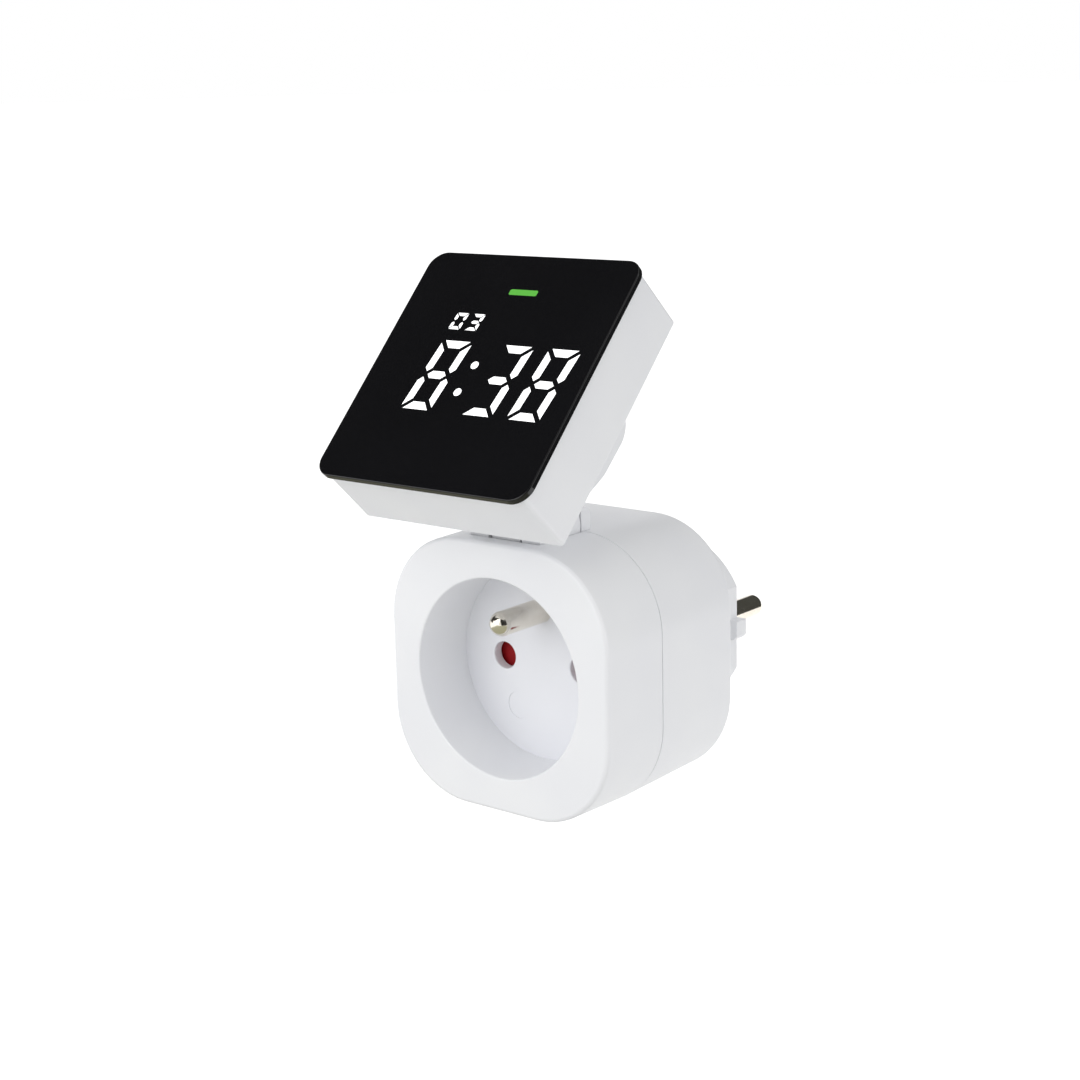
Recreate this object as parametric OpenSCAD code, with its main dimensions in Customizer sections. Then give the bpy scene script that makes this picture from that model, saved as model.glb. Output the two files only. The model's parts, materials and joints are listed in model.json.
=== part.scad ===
// Plug-in timer switch with a tilting display head.
// Millimetres. +Z is up, the plug pins point along +Y, and the socket faces -Y.
// The origin is the centre of the plug's end face, midway between the two pins.
// Case parts are drawn from the front face (y = 0) towards the wall; head parts from the
// front of the display panel (y = 0) backwards; the neck from the tilt axle.

/* [Case] */
// Width and height of the front face
face_w = 52.8; // [51:0.2:56]
// Swell of each side from the front face to the parting line
seam_swell = 0.3; // [0.2:0.1:0.8]
// Draw-in of each side from the parting line to the rear edge
rear_draw = 0.5; // [0.3:0.1:1]
// Width of the straight middle of each side, between the corner arcs
flat_w = 17.4; // [14:0.2:22]
// Depth of the case, front face to rear face
case_l = 41.2; // [39:0.2:44]
// Distance of the parting line behind the front face
seam_y = 16.8; // [16.2:0.1:17.4]
// Wall of both case shells
case_wall = 1.7; // [1.4:0.1:2]
// Thickness of the front face
face_t = 2.0; // [1.6:0.1:2.6]
// Rounding of the front edge
face_edge = 0.9; // [0.4:0.1:1.4]
// Rounding of the rear edge
rear_edge = 1.6; // [0.8:0.1:1.7]

/* [Socket] */
// Radius of the round socket recess
recess_r = 19.5; // [19.3:0.1:20]
// Depth of the recess
recess_l = 13.9; // [13:0.1:14.2]
// Wall of the recess tube
recess_wall = 1.4; // [1:0.1:1.5]
// Thickness of the recess floor
floor_t = 2.2; // [1.6:0.1:2.3]
// Spacing of the contact holes and of the plug pins
pole_pitch = 19.0; // [18.8:0.1:19.2]
// Radius of the contact holes
hole_r = 2.7; // [2.6:0.1:3.1]
// Radius of every mains pin
pin_r = 2.4; // [2:0.1:2.4]
// Height of the earth pin and the earth hole above the centre line
earth_z = 10.5; // [9.8:0.1:10.8]
// Length of the earth pin above the recess floor
earth_pin_l = 14.0; // [12:0.2:14.4]
// Rounding of the earth pin's domed tip
earth_tip_r = 2.2; // [1.6:0.1:2.3]
// Thickness of the sliding shutter
shutter_t = 1.6; // [1.4:0.1:1.8]
// How far behind the recess floor the shutter runs
shutter_clear = 0.8; // [0.4:0.1:0.9]
// Width of the shutter
shutter_w = 26.0; // [25.4:0.2:26.4]
// Height of the shutter
shutter_h = 7.2; // [6.8:0.1:7.6]
// Downward travel of the shutter
shutter_travel = 6.6; // [6.4:0.1:6.8]

/* [Plug] */
// Length of the plug from the case's rear face to its end face
plug_l = 16.4; // [16:0.1:18]
// Radius of the plug
plug_r = 18.5; // [18:0.1:18.6]
// Width across the plug's two flats
plug_flat_w = 32.8; // [31.6:0.2:33]
// Wall of the plug's tube
plug_wall = 1.8; // [1.5:0.1:2]
// Thickness of the plug's end face
plug_face_t = 2.0; // [1.6:0.1:2.4]
// Free length of the plug pins
pin_l = 17.0; // [16.5:0.5:19.5]
// Rounding of the plug pins' tips
pin_tip_r = 1.6; // [1:0.1:1.8]
// Radius of the earth hole in the plug's end face
earth_hole_r = 2.9; // [2.8:0.1:3.1]
// Width of the guide lug on each flat
lug_w = 4.0; // [3.6:0.1:5]
// Length of the guide lug
lug_l = 3.5; // [3:0.5:8]
// Height of the guide lug above its flat
lug_h = 2.0; // [1.6:0.1:2.3]
// Width of the side earth clips
clip_w = 5.6; // [5:0.1:6.5]
// Thickness of the earth bracket's sheet
clip_t = 0.6; // [0.5:0.1:0.8]

/* [Hinge] */
// Distance of the tilt axle behind the front face
hinge_y = 9.7; // [9.4:0.1:10.2]
// Height of the axle above the parting line's top edge
hinge_rise = 1.0; // [0.9:0.1:1.5]
// Radius of the neck's knuckle
hinge_r = 6.1; // [5.8:0.1:6.2]
// Lean of the display from upright, at rest
tilt = 43.6; // [40:0.2:44]
// Width of the neck and of the hinge saddle
neck_w = 17.0; // [16.4:0.2:18]
// Width of the saddle's middle tongue
tongue_w = 6.8; // [6:0.2:7]
// Thickness of each friction washer
washer_t = 0.4; // [0.3:0.1:0.5]
// Outer radius of the hollow axle
axle_r = 1.9; // [1.7:0.1:2.1]
// Bore radius of the hollow axle
axle_bore_r = 1.0; // [0.9:0.1:1.1]
// Thickness of the saddle's rear stop wall
stop_t = 2.8; // [2.6:0.1:3.2]
// Height of the stop wall above the axle
stop_h = 3.5; // [3:0.1:3.6]

/* [Display head] */
// Width of the display panel
panel_w = 50.2; // [49:0.2:52]
// Height of the display panel
panel_h = 52.2; // [51:0.2:54]
// Corner radius of the panel
panel_r = 3.7; // [3:0.1:5]
// Thickness of the panel
panel_t = 1.3; // [1:0.1:1.6]
// Depth of the whole head, panel included
head_d = 16.2; // [15.6:0.2:18]
// Step from the panel's edge in to the head's shell
head_inset = 1.2; // [0.6:0.1:1.4]
// Corner radius of the head's shell
head_r = 0.9; // [0.6:0.1:2.4]
// Wall of the head's shell
head_wall = 1.6; // [1.3:0.1:1.8]
// Distance of the axle behind the head's rear face
hinge_back = 15.0; // [14.7:0.1:16]
// Distance of the axle below the head's centre
hinge_drop = 14.2; // [13.5:0.1:14.6]
// Wall of the neck's halves
neck_wall = 1.8; // [1.4:0.1:2.2]
// Width of each button
button_w = 5.2; // [4.6:0.2:6]
// Depth of each button
button_d = 3.0; // [2.4:0.1:3.4]
// Height that the buttons stand above the head's top
button_h = 0.8; // [0.6:0.1:0.8]
// Travel of the buttons
button_travel = 0.5; // [0.3:0.1:0.5]
// Spacing of the buttons
button_pitch = 9.0; // [8:0.2:9.6]

/* [Digits] */
// Height of the time digits
digit_h = 15.6; // [14:0.1:16]
// Width of the time digits
digit_w = 7.3; // [6.4:0.1:7.6]
// Spacing of the time digits
digit_pitch = 10.7; // [9.8:0.1:11]
// Width of a digit's segments
segment_w = 1.65; // [1.3:0.05:1.8]
// Gap between segments
segment_gap = 0.92; // [0.7:0.02:1]
// Height of the day digits
day_h = 3.8; // [3.4:0.1:4.4]
// Width of the day digits
day_w = 2.8; // [2.4:0.1:3.1]
// Radius of the colon's dots
dot_r = 0.84; // [0.7:0.02:1.1]
// Length of the output indicator
bar_l = 6.6; // [5:0.2:8]
// Height of the output indicator
bar_h = 1.28; // [1:0.02:1.8]

/* [Hidden] */
$fn = 64;
hull_fn = 36;                       // rounds inside a hull
gap = 0.3;                          // between pieces that move past each other
fit = 0.05;                         // radial clearance of the axle in the cheeks
skin = 0.02;                        // thickness of a slice that a hull joins
over = 1;                           // how far a cut runs past a face

front_y = -(case_l + plug_l);       // the front face in the part's own frame
seam_w = face_w + 2 * seam_swell;   // width at the parting line
rear_w = seam_w - 2 * rear_draw;    // width at the rear edge
case_in = seam_w / 2 - case_wall;   // from the centre to the inner side of the walls
rear_in = rear_w / 2 - case_wall;
pole_x = pole_pitch / 2;
pin_root_r = pin_r - 0.3;           // the pins' roots inside the plastic
floor_y = recess_l + floor_t;       // rear of the recess floor
tube_r = recess_r + recess_wall;
shutter_y = floor_y + shutter_clear;
carrier_y = shutter_y + shutter_t + gap;
carrier_t = 1.6;
carrier_back = carrier_y + carrier_t;
plug_y = case_l + plug_l;           // the plug's end face, from the front face
face_in = plug_y - plug_face_t;     // inner side of the end face

hinge_z = seam_w / 2 + hinge_rise;
neck_x = neck_w / 2;
pocket_r = hinge_r + gap;           // the saddle's hollow round the knuckle
tongue_x = tongue_w / 2;
cheek_x = tongue_x + washer_t + gap;
stop_y = hinge_y + pocket_r;        // front of the saddle's stop wall
stop_back = stop_y + stop_t;
saddle_z = hinge_z - hinge_r - 0.2; // underside of the saddle's block
flange_t = 1.8;
flange_y = stop_back + 6;
flange_x = 11.8;
saddle_screw = [9.2, stop_back + 3];

head_w = panel_w - 2 * head_inset;
head_h = panel_h - 2 * head_inset;
head_in_r = 0.6;                    // inner corners of the head's shell
head_x = head_w / 2 - head_wall;    // inner side of the head's side walls
head_back_t = 1.8;
head_in = head_d - head_back_t;     // inner side of the head's rear wall
neck_low = -7;                      // where the neck meets the head, above the axle
neck_high = 31;
waist_y = 1.58;                     // rear of the neck just above the knuckle
neck_top = [-1.1, 23.4, 5.6];       // the neck's rear: centre and radius of each round
neck_swell = [-5.8, 17.5, 10];
neck_waist = [-1.4, 9.5, 3.4];

post_x = seam_w / 2 - 9.05;         // case posts
post_r = 3.5;
ear_r = 2.2;                        // screws at the two sides of the socket floor
ear_x = case_in - 0.2 - ear_r;
screw_r = 1.2;
screw_head_r = 2.5;
screw_head_t = 1.8;

board_t = 1.6;
relay_h = 14.4;
board_top = relay_h + board_t + 0.4 - rear_in;
board_x = case_in - 4.1;
bay = post_x - post_r - gap;        // half of the room between the lower posts
can_r = 2.9;
film_w = 3.6;
fuse_r = 2;
sleeve_r = 4.2;                     // round each contact
board_y = [carrier_back + 0.7, case_l - 2.4];
ledge_x = rear_w / 2 - case_wall / 2;
contact_l = 12;                     // tulip contacts
contact_t = 0.75;
contact_y = carrier_back + 0.7;
contact_end = contact_y + contact_l;
strip_w = 3.0;
strip_t = 0.8;
bracket_y = case_l + 4;             // cross-piece of the earth bracket
tulip_y = [bracket_y - 2, bracket_y + 9];
carrier_pin_y = bracket_y + 3;      // front of the pin carrier
pin_head_l = 1.6;
stem_r = 1.8;                       // rivet stem of the socket's earth pin

display_y = 7.6;                    // front of the display board
display_t = 1.2;
display_back = display_y + display_t;
mask_y = panel_t + 1.5;             // rear of the black mask behind the panel
digits_z = -2.17;                   // centre height of the time digits
colon_x = -1.07;
colon_drop = 0.2;                   // the colon sits a little low
colon_rise = 3.05;                  // each dot from the colon's centre
units_x = colon_x + 18.0;
tens_x = units_x - digit_pitch;
hours_x = colon_x - 7.27;
day_z = 10.12;
day_x = -8.0;
bar_x = 1.56;
bar_z = 17.48;
lean = 0.107;                       // sideways lean of the digits per unit of height
button_y = 11.2;
buttons = [-1.5, -0.5, 0.5, 1.5];
flange_h = 0.7;                     // retaining flange under each button
flange_out = 0.6;
button_top = head_h / 2 + button_h;
button_low = head_h / 2 - head_wall - gap - flange_h;
corner_screw = [head_w / 2 - 3.9, head_h / 2 - 3.9];
neck_screw_x = 5.0;
neck_screw_z = [0, 25];             // above the axle, across the head's rear wall
tie_screw = [[-10, 3.5], [-3.5, 22]]; // screws that tie the neck's halves together
harness_r = 0.6;

// Segments a to g of a seven-segment digit, for the figures that are lit
LIT = [[1, 1, 1, 1, 1, 1, 0], [0, 1, 1, 0, 0, 0, 0], [1, 1, 0, 1, 1, 0, 1], [1, 1, 1, 1, 0, 0, 1],
       [0, 1, 1, 0, 0, 1, 1], [1, 0, 1, 1, 0, 1, 1], [1, 0, 1, 1, 1, 1, 1], [1, 1, 1, 0, 0, 0, 0],
       [1, 1, 1, 1, 1, 1, 1], [1, 1, 1, 1, 0, 1, 1]];

// ---- placing ----

module in_case() {
    translate([0, front_y, 0]) children();
}

module at_hinge() {
    in_case() translate([0, hinge_y, hinge_z]) rotate([-tilt, 0, 0]) children();
}

module in_head() {
    at_hinge() translate([0, -(head_d + hinge_back), hinge_drop]) children();
}

// ---- shapes ----

// A box given by its limits along each axis
module block(x, y, z) {
    translate([x[0], y[0], z[0]]) cube([x[1] - x[0], y[1] - y[0], z[1] - z[0]]);
}

// A round bar along Y, X or Z
module rod_y(r, y, x = 0, z = 0) {
    translate([x, y[1], z]) rotate([90, 0, 0]) cylinder(r = r, h = y[1] - y[0]);
}

module rod_x(r, x, y = 0, z = 0) {
    translate([x[0], y, z]) rotate([0, 90, 0]) cylinder(r = r, h = x[1] - x[0]);
}

module rod_z(r, z, x = 0, y = 0) {
    translate([x, y, z[0]]) cylinder(r = r, h = z[1] - z[0]);
}

module rounded(w, h, r) {
    square([w - 2 * r, h], center = true);
    square([w, h - 2 * r], center = true);
    for (sx = [-1, 1], sz = [-1, 1])
        translate([sx * (w / 2 - r), sz * (h / 2 - r)]) circle(r = r);
}

// A flat plate across Y with rounded corners
module plate(w, h, r, y) {
    translate([0, y[1], 0]) rotate([90, 0, 0]) linear_extrude(y[1] - y[0]) rounded(w, h, r);
}

// An outline in the Y-Z plane, drawn out along X
module across(x) {
    translate([x[0], 0, 0]) rotate([90, 0, 90]) linear_extrude(x[1] - x[0]) children();
}

// A slice of the case of width w at depth y, for a hull
module case_slice(w, y) {
    plate(w, w, (w - flat_w) / 2, [y, y + skin], $fn = hull_fn);
}

// The case's width at depth y: it swells to the parting line and draws in behind it
function case_w(y) = y < seam_y
    ? face_w + (seam_w - face_w) * y / seam_y
    : seam_w + (rear_w - seam_w) * (y - seam_y) / (case_l - seam_y);

// A mains pin along +Y, from y = 0, with a rounded tip; behind it a thinner root with a head
module pin(l, tip_r, root_l, head_r, head_l) {
    rotate([-90, 0, 0]) rotate_extrude() {
        square([pin_r, l - tip_r]);
        square([pin_r - tip_r, l]);
        translate([pin_r - tip_r, l - tip_r]) intersection() {
            circle(r = tip_r);
            square(tip_r);
        }
        translate([0, -root_l]) square([pin_root_r, root_l + skin]);
        translate([0, -root_l]) square([head_r, head_l]);
    }
}

// A screw along +Y whose head starts at y = 0
module screw(r, l, head_r, head_t) {
    difference() {
        union() {
            rod_y(head_r, [0, head_t]);
            rod_y(r, [0, l]);
        }
        block([-head_r * 0.6, head_r * 0.6], [-over, head_t * 0.4], [-0.25, 0.25]);
        block([-0.25, 0.25], [-over, head_t * 0.4], [-head_r * 0.6, head_r * 0.6]);
    }
}

// A tube swept along a list of points; no stretch may run along the guide direction
function unit(v) = v / norm(v);
function tangent(p, i) = unit(p[min(i + 1, len(p) - 1)] - p[max(i - 1, 0)]);
function ring(p, i, r, sides, guide) =
    let (t = tangent(p, i), a = unit(cross(t, guide)), b = cross(t, a))
    [for (k = [0:sides - 1]) p[i] + r * (a * cos(360 * k / sides) + b * sin(360 * k / sides))];
module sweep(p, r, sides, guide) {
    last = (len(p) - 1) * sides;
    polyhedron(
        points = [for (i = [0:len(p) - 1]) each ring(p, i, r, sides, guide)],
        faces = concat(
            [[for (k = [0:sides - 1]) k]],
            [[for (k = [sides - 1:-1:0]) last + k]],
            [for (i = [0:len(p) - 2], k = [0:sides - 1])
                [i * sides + k, (i + 1) * sides + k, (i + 1) * sides + (k + 1) % sides]],
            [for (i = [0:len(p) - 2], k = [0:sides - 1])
                [i * sides + k, (i + 1) * sides + (k + 1) % sides, i * sides + (k + 1) % sides]]));
}

// Points of a smooth curve through a list of points
function blend(a, b, c, d, t) = 0.5 * (2 * b + (c - a) * t + (2 * a - 5 * b + 4 * c - d) * t * t
    + (3 * b - a - 3 * c + d) * t * t * t);
function smooth_path(p, n) = concat(
    [for (i = [0:len(p) - 2], k = [0:n - 1])
        blend(p[max(i - 1, 0)], p[i], p[i + 1], p[min(i + 2, len(p) - 1)], k / n)],
    [p[len(p) - 1]]);

// ---- digits, drawn flat with their centre at the origin ----

// One straight segment of length l along X with pointed ends
module segment(l, w) {
    polygon([[-l / 2, 0], [-l / 2 + w / 2, w / 2], [l / 2 - w / 2, w / 2], [l / 2, 0],
             [l / 2 - w / 2, -w / 2], [-l / 2 + w / 2, -w / 2]]);
}

// An outer segment: full along the digit's edge, mitred at 45 degrees on the inside
module edge_segment(l, w) {
    polygon([[-l / 2, 0], [l / 2, 0], [l / 2 - w, -w], [-l / 2 + w, -w]]);
}

// A side segment: mitred at the corner, pointed where it meets the middle
module side_segment(l, w) {
    polygon([[0, 0], [0, -l + w / 2], [-w / 2, -l], [-w, -l + w / 2], [-w, -w]]);
}

module digit(n, w, h, s, g) {
    lit = LIT[n];
    o = g / sqrt(2);                // how far each segment's end stays off its corner
    l = h / 2 - 2 * o;
    multmatrix([[1, lean, 0, 0], [0, 1, 0, 0], [0, 0, 1, 0], [0, 0, 0, 1]]) {
        if (lit[0]) translate([0, h / 2]) edge_segment(w - 2 * o, s);
        if (lit[3]) translate([0, -h / 2]) mirror([0, 1]) edge_segment(w - 2 * o, s);
        if (lit[6]) segment(w - s - 2 * o, s);
        if (lit[1]) translate([w / 2, h / 2 - o]) side_segment(l, s);
        if (lit[2]) translate([w / 2, -h / 2 + o]) mirror([0, 1]) side_segment(l, s);
        if (lit[5]) mirror([1, 0]) translate([w / 2, h / 2 - o]) side_segment(l, s);
        if (lit[4]) mirror([1, 0]) translate([w / 2, -h / 2 + o]) mirror([0, 1])
            side_segment(l, s);
    }
}

module time_figures() {
    translate([hours_x, digits_z]) digit(8, digit_w, digit_h, segment_w, segment_gap);
    translate([tens_x, digits_z]) digit(3, digit_w, digit_h, segment_w, segment_gap);
    translate([units_x, digits_z]) digit(8, digit_w, digit_h, segment_w, segment_gap);
    for (s = [-1, 1])
        translate([colon_x + s * lean * colon_rise, digits_z - colon_drop + s * colon_rise])
            circle(r = dot_r, $fn = 32);
}

module day_figures() {
    s = day_w * 0.25;
    for (k = [0, 1])
        translate([day_x + (k - 0.5) * (day_w + 1.2), day_z])
            digit(3 * k, day_w, day_h, s, segment_gap / 4);
}

module indicator_figure() {
    translate([bar_x, bar_z]) rounded(bar_l, bar_h, bar_h * 0.3);
}

// Figures drawn out along Y between two depths
module figures(y) {
    translate([0, y[1], 0]) rotate([90, 0, 0]) linear_extrude(y[1] - y[0]) children();
}

// ---- case ----

module front_shell() {
    color("#eef0f3") in_case() difference() {
        union() {
            difference() {
                hull() {
                    case_slice(face_w - 2 * face_edge, 0);
                    case_slice(face_w - 0.6 * face_edge, face_edge * 0.3);
                    case_slice(case_w(face_edge), face_edge);
                    case_slice(seam_w, seam_y - skin);
                }
                hull() {
                    case_slice(case_w(face_t) - 2 * case_wall, face_t);
                    case_slice(seam_w - 2 * case_wall, seam_y + over);
                }
            }
            rod_y(tube_r, [face_t - 0.5, recess_l]);
            for (sx = [-1, 1]) {
                rod_y(ear_r, [face_t - 0.5, recess_l], sx * ear_x);
                for (sz = [-1, 1])
                    rod_y(post_r, [face_t - 0.5, seam_y], sx * post_x, sz * post_x);
            }
        }
        rod_y(recess_r, [-over, seam_y + over]);
        for (sx = [-1, 1]) {
            rod_y(screw_r, [face_t + 1, recess_l + over], sx * ear_x);
            for (sz = [-1, 1])
                rod_y(screw_r, [face_t + 1, seam_y + over], sx * post_x, sz * post_x);
        }
        // Slot in the top for the neck's knuckle and the hinge saddle
        block([-neck_x - gap, neck_x + gap], [hinge_y - pocket_r, seam_y + over],
              [hinge_z - pocket_r, hinge_z + pocket_r]);
    }
}

module plug_outline(r, w, y) {
    intersection() {
        rod_y(r, y);
        block([-w / 2, w / 2], [y[0] - over, y[1] + over], [-r - over, r + over]);
    }
}

module rear_shell() {
    inner_r = plug_r - plug_wall;
    inner_w = plug_flat_w - 2 * plug_wall;
    color("#eceef1") in_case() difference() {
        union() {
            difference() {
                hull() {
                    case_slice(seam_w, seam_y);
                    case_slice(case_w(case_l - rear_edge), case_l - rear_edge);
                    case_slice(rear_w - 0.6 * rear_edge, case_l - 0.3 * rear_edge);
                    case_slice(rear_w - 2 * rear_edge, case_l - skin);
                }
                hull() {
                    case_slice(seam_w - 2 * case_wall, seam_y - over);
                    case_slice(rear_w - 2 * case_wall, case_l - face_t - skin);
                }
            }
            plug_outline(plug_r, plug_flat_w, [case_l - face_t, plug_y]);
            for (sx = [-1, 1], sz = [-1, 1])
                rod_y(post_r, [seam_y, case_l - 0.5], sx * post_x, sz * post_x);
            // Guide lugs on the flats
            for (sx = [-1, 1]) mirror([sx < 0 ? 1 : 0, 0, 0])
                translate([0, plug_y - lug_l, 0]) rotate([-90, 0, 0]) linear_extrude(lug_l)
                    polygon([[plug_flat_w / 2 - 1, -lug_w / 2], [plug_flat_w / 2 + lug_h, -lug_w / 2],
                             [plug_flat_w / 2 + lug_h, lug_w / 2 - 0.8],
                             [plug_flat_w / 2 + lug_h - 0.8, lug_w / 2],
                             [plug_flat_w / 2 - 1, lug_w / 2]]);
            // Ledges that carry the main board
            for (sx = [-1, 1])
                block([min(sx * (board_x - 2), sx * ledge_x), max(sx * (board_x - 2), sx * ledge_x)],
                      [board_y[0] + 4, case_l - face_t + skin],
                      [board_top - board_t - 1.6, board_top - board_t]);
            // Bosses above the saddle's flange
            for (sx = [-1, 1])
                rod_z(2.6, [saddle_z + flange_t, case_w(saddle_screw[1]) / 2 - 0.5],
                      sx * saddle_screw[0], saddle_screw[1]);
        }
        plug_outline(inner_r, inner_w, [case_l - face_t - over, face_in]);
        // Room for the socket floor and the contact carrier
        rod_y(tube_r + gap, [seam_y - over, carrier_back + gap]);
        // Pin holes and the earth hole
        for (sx = [-1, 1]) rod_y(pin_root_r, [face_in - over, plug_y + over], sx * pole_x);
        rod_y(earth_hole_r, [face_in - over, plug_y + over], 0, earth_z);
        // Grooves and slots for the side earth clips
        for (s = [-1, 1]) mirror([0, 0, s < 0 ? 1 : 0]) {
            block([-clip_w / 2 - 0.2, clip_w / 2 + 0.2], [bracket_y - 0.2, plug_y - 1.2],
                  [plug_r - clip_t - 0.3, plug_r + over]);
            block([-clip_w / 2 - 0.2, clip_w / 2 + 0.2], [bracket_y - 0.2, bracket_y + clip_t + 0.2],
                  [inner_r - over, plug_r + over]);
        }
        // Screw holes and counterbores
        for (sx = [-1, 1], sz = [-1, 1]) {
            rod_y(screw_r + 0.3, [seam_y - over, case_l], sx * post_x, sz * post_x);
            rod_y(screw_head_r + 0.1, [case_l - 6, case_l + over], sx * post_x, sz * post_x);
        }
        for (sx = [-1, 1])
            rod_z(0.9, [saddle_z, hinge_z - 3.4], sx * saddle_screw[0], saddle_screw[1]);
        // Notch in the top for the hinge saddle
        block([-neck_x - 0.1, neck_x + 0.1], [seam_y - over, stop_back + 0.1],
              [saddle_z, hinge_z + stop_h + over]);
    }
}

// ---- socket ----

module socket_floor() {
    color("#e6e8ec") in_case() difference() {
        union() {
            rod_y(tube_r, [recess_l, floor_y]);
            block([-ear_x, ear_x], [recess_l, floor_y], [-ear_r, ear_r]);
            for (sx = [-1, 1]) rod_y(ear_r, [recess_l, floor_y], sx * ear_x);
        }
        for (sx = [-1, 1]) {
            rod_y(hole_r, [recess_l - over, floor_y + over], sx * pole_x);
            rod_y(screw_r + 0.3, [recess_l - over, floor_y + over], sx * ear_x);
        }
        rod_y(pin_root_r, [recess_l - over, floor_y + over], 0, earth_z);
        // Shallow round mark left by the ejector
        rod_y(2.8, [recess_l - over, recess_l + 0.15], -6, -9.6);
    }
}

module shutter() {
    // The sloping front makes the entering pins push it down
    color("#a81c1c") in_case() across([-shutter_w / 2, shutter_w / 2]) translate([shutter_y, 0])
        polygon([[0, -shutter_h / 2], [shutter_t, -shutter_h / 2], [shutter_t, shutter_h / 2],
                 [shutter_t * 0.4, shutter_h / 2], [0, shutter_h / 6]]);
}

spring_l = 9.6;
spring_turns = 7;
spring_r = 0.66;
spring_wire_r = 0.2;
module shutter_spring() {
    steps = 16;
    n = spring_turns * steps;
    rise = spring_l - 2 * spring_wire_r;
    color("silver") in_case()
        translate([0, shutter_y + shutter_t / 2, -shutter_h / 2 - spring_l])
            sweep([for (i = [0:n])
                       [spring_r * cos(360 * i / steps), spring_r * sin(360 * i / steps),
                        spring_wire_r + rise * i / n]],
                  spring_wire_r, 6, [0, 0, 1]);
}

module contact_carrier() {
    rail_in = shutter_w / 2 + gap;
    seat_z = -shutter_h / 2 - spring_l;
    color("#d9dadc") in_case() difference() {
        union() {
            rod_y(tube_r - 1, [carrier_y, carrier_back]);
            for (sx = [-1, 1]) {
                // Ear, spaced off the floor's ear
                rod_y(ear_r, [floor_y, carrier_back], sx * ear_x);
                block([min(sx * (tube_r - 2), sx * ear_x), max(sx * (tube_r - 2), sx * ear_x)],
                      [floor_y, carrier_back], [-ear_r, ear_r]);
                // Rails beside the shutter
                block([min(sx * rail_in, sx * (rail_in + 1.6)), max(sx * rail_in, sx * (rail_in + 1.6))],
                      [floor_y, carrier_y], [seat_z + 1.5, shutter_h / 2 + 1]);
                // Sleeve round each contact
                rod_y(sleeve_r, [carrier_y, contact_end - 1], sx * pole_x);
            }
            // Seat under the shutter's spring, and the stop above the shutter
            block([-3, 3], [floor_y, carrier_y], [seat_z - 1.6, seat_z]);
            block([-3, 3], [floor_y, carrier_y], [shutter_h / 2 + gap, shutter_h / 2 + gap + 1.4]);
        }
        for (sx = [-1, 1]) {
            rod_y(contact_t + pin_r + fit, [contact_y, contact_end], sx * pole_x);
            rod_y(hole_r, [carrier_y - over, contact_y + skin], sx * pole_x);
            rod_y(screw_r + 0.3, [floor_y - over, carrier_back + over], sx * ear_x);
        }
        rod_y(stem_r + 0.2, [carrier_y - over, carrier_back + over], 0, earth_z);
        // Notch for the harness, and room under the saddle
        block([-1.2, 1.2], [carrier_y - over, carrier_back + over], [saddle_z - 4, tube_r]);
        block([-flange_x - gap, flange_x + gap], [carrier_y - over, carrier_back + over],
              [saddle_z - 1.2 - gap, tube_r + over]);
    }
}

// A tulip contact that grips a pin, open to the front
module tulip(y) {
    difference() {
        rod_y(pin_r + fit + contact_t, y);
        rod_y(pin_r + fit, [y[0] - over, y[1] - 1]);
    }
}

module contact_left() {
    color("goldenrod") in_case() union() {
        translate([-pole_x, 0, 0]) tulip([contact_y, contact_end]);
        // Tail soldered to the board
        block([-pole_x - strip_w / 2, -pole_x + strip_w / 2], [contact_end - strip_t, contact_end],
              [board_top, -pin_r]);
    }
}

module contact_right() {
    color("goldenrod") in_case() translate([pole_x, 0, 0]) tulip([contact_y, contact_end]);
}

module carrier_screws() {
    color("silver") in_case() for (sx = [-1, 1])
        translate([sx * ear_x, carrier_back + 1.4, 0]) rotate([180, 0, 0])
            screw(screw_r, carrier_back - recess_l + 8, ear_r - 0.2, 1.4);
}

module socket_earth_pin() {
    root_l = floor_y + 1.2 - recess_l;
    color("#d8d4c8") in_case() union() {
        translate([0, recess_l, earth_z]) rotate([180, 0, 0])
            pin(earth_pin_l, earth_tip_r, root_l, pin_r + 1.2, 1.2);
        rod_y(stem_r, [recess_l + root_l - skin, carrier_back + clip_t + 0.8], 0, earth_z);
    }
}

// ---- earth path ----

tulip_top = earth_z + pin_r + fit + contact_t;
module earth_strap() {
    color("silver") in_case() difference() {
        union() {
            block([-3, 3], [carrier_back, carrier_back + clip_t],
                  [earth_z - 3.4, tulip_top + clip_t]);
            block([-2.2, 2.2], [carrier_back, bracket_y], [tulip_top, tulip_top + clip_t]);
        }
        rod_y(stem_r, [carrier_back - over, carrier_back + over], 0, earth_z);
    }
}

module earth_contact() {
    color("goldenrod") in_case() translate([0, 0, earth_z]) mirror([0, 1, 0])
        tulip([-tulip_y[1], -tulip_y[0]]);
}

module earth_bracket() {
    out = plug_r - 0.1;
    color("silver") in_case() difference() {
        union() {
            block([-clip_w / 2, clip_w / 2], [bracket_y, bracket_y + clip_t], [-out, out]);
            rod_y(pin_r + fit + contact_t + 1.2, [bracket_y, bracket_y + clip_t], 0, earth_z);
            for (s = [-1, 1]) mirror([0, 0, s < 0 ? 1 : 0])
                block([-clip_w / 2, clip_w / 2], [bracket_y, plug_y - 1.6], [out - clip_t, out]);
        }
        rod_y(pin_r + fit + contact_t, [bracket_y - over, bracket_y + over], 0, earth_z);
    }
}

// ---- plug ----

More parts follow.
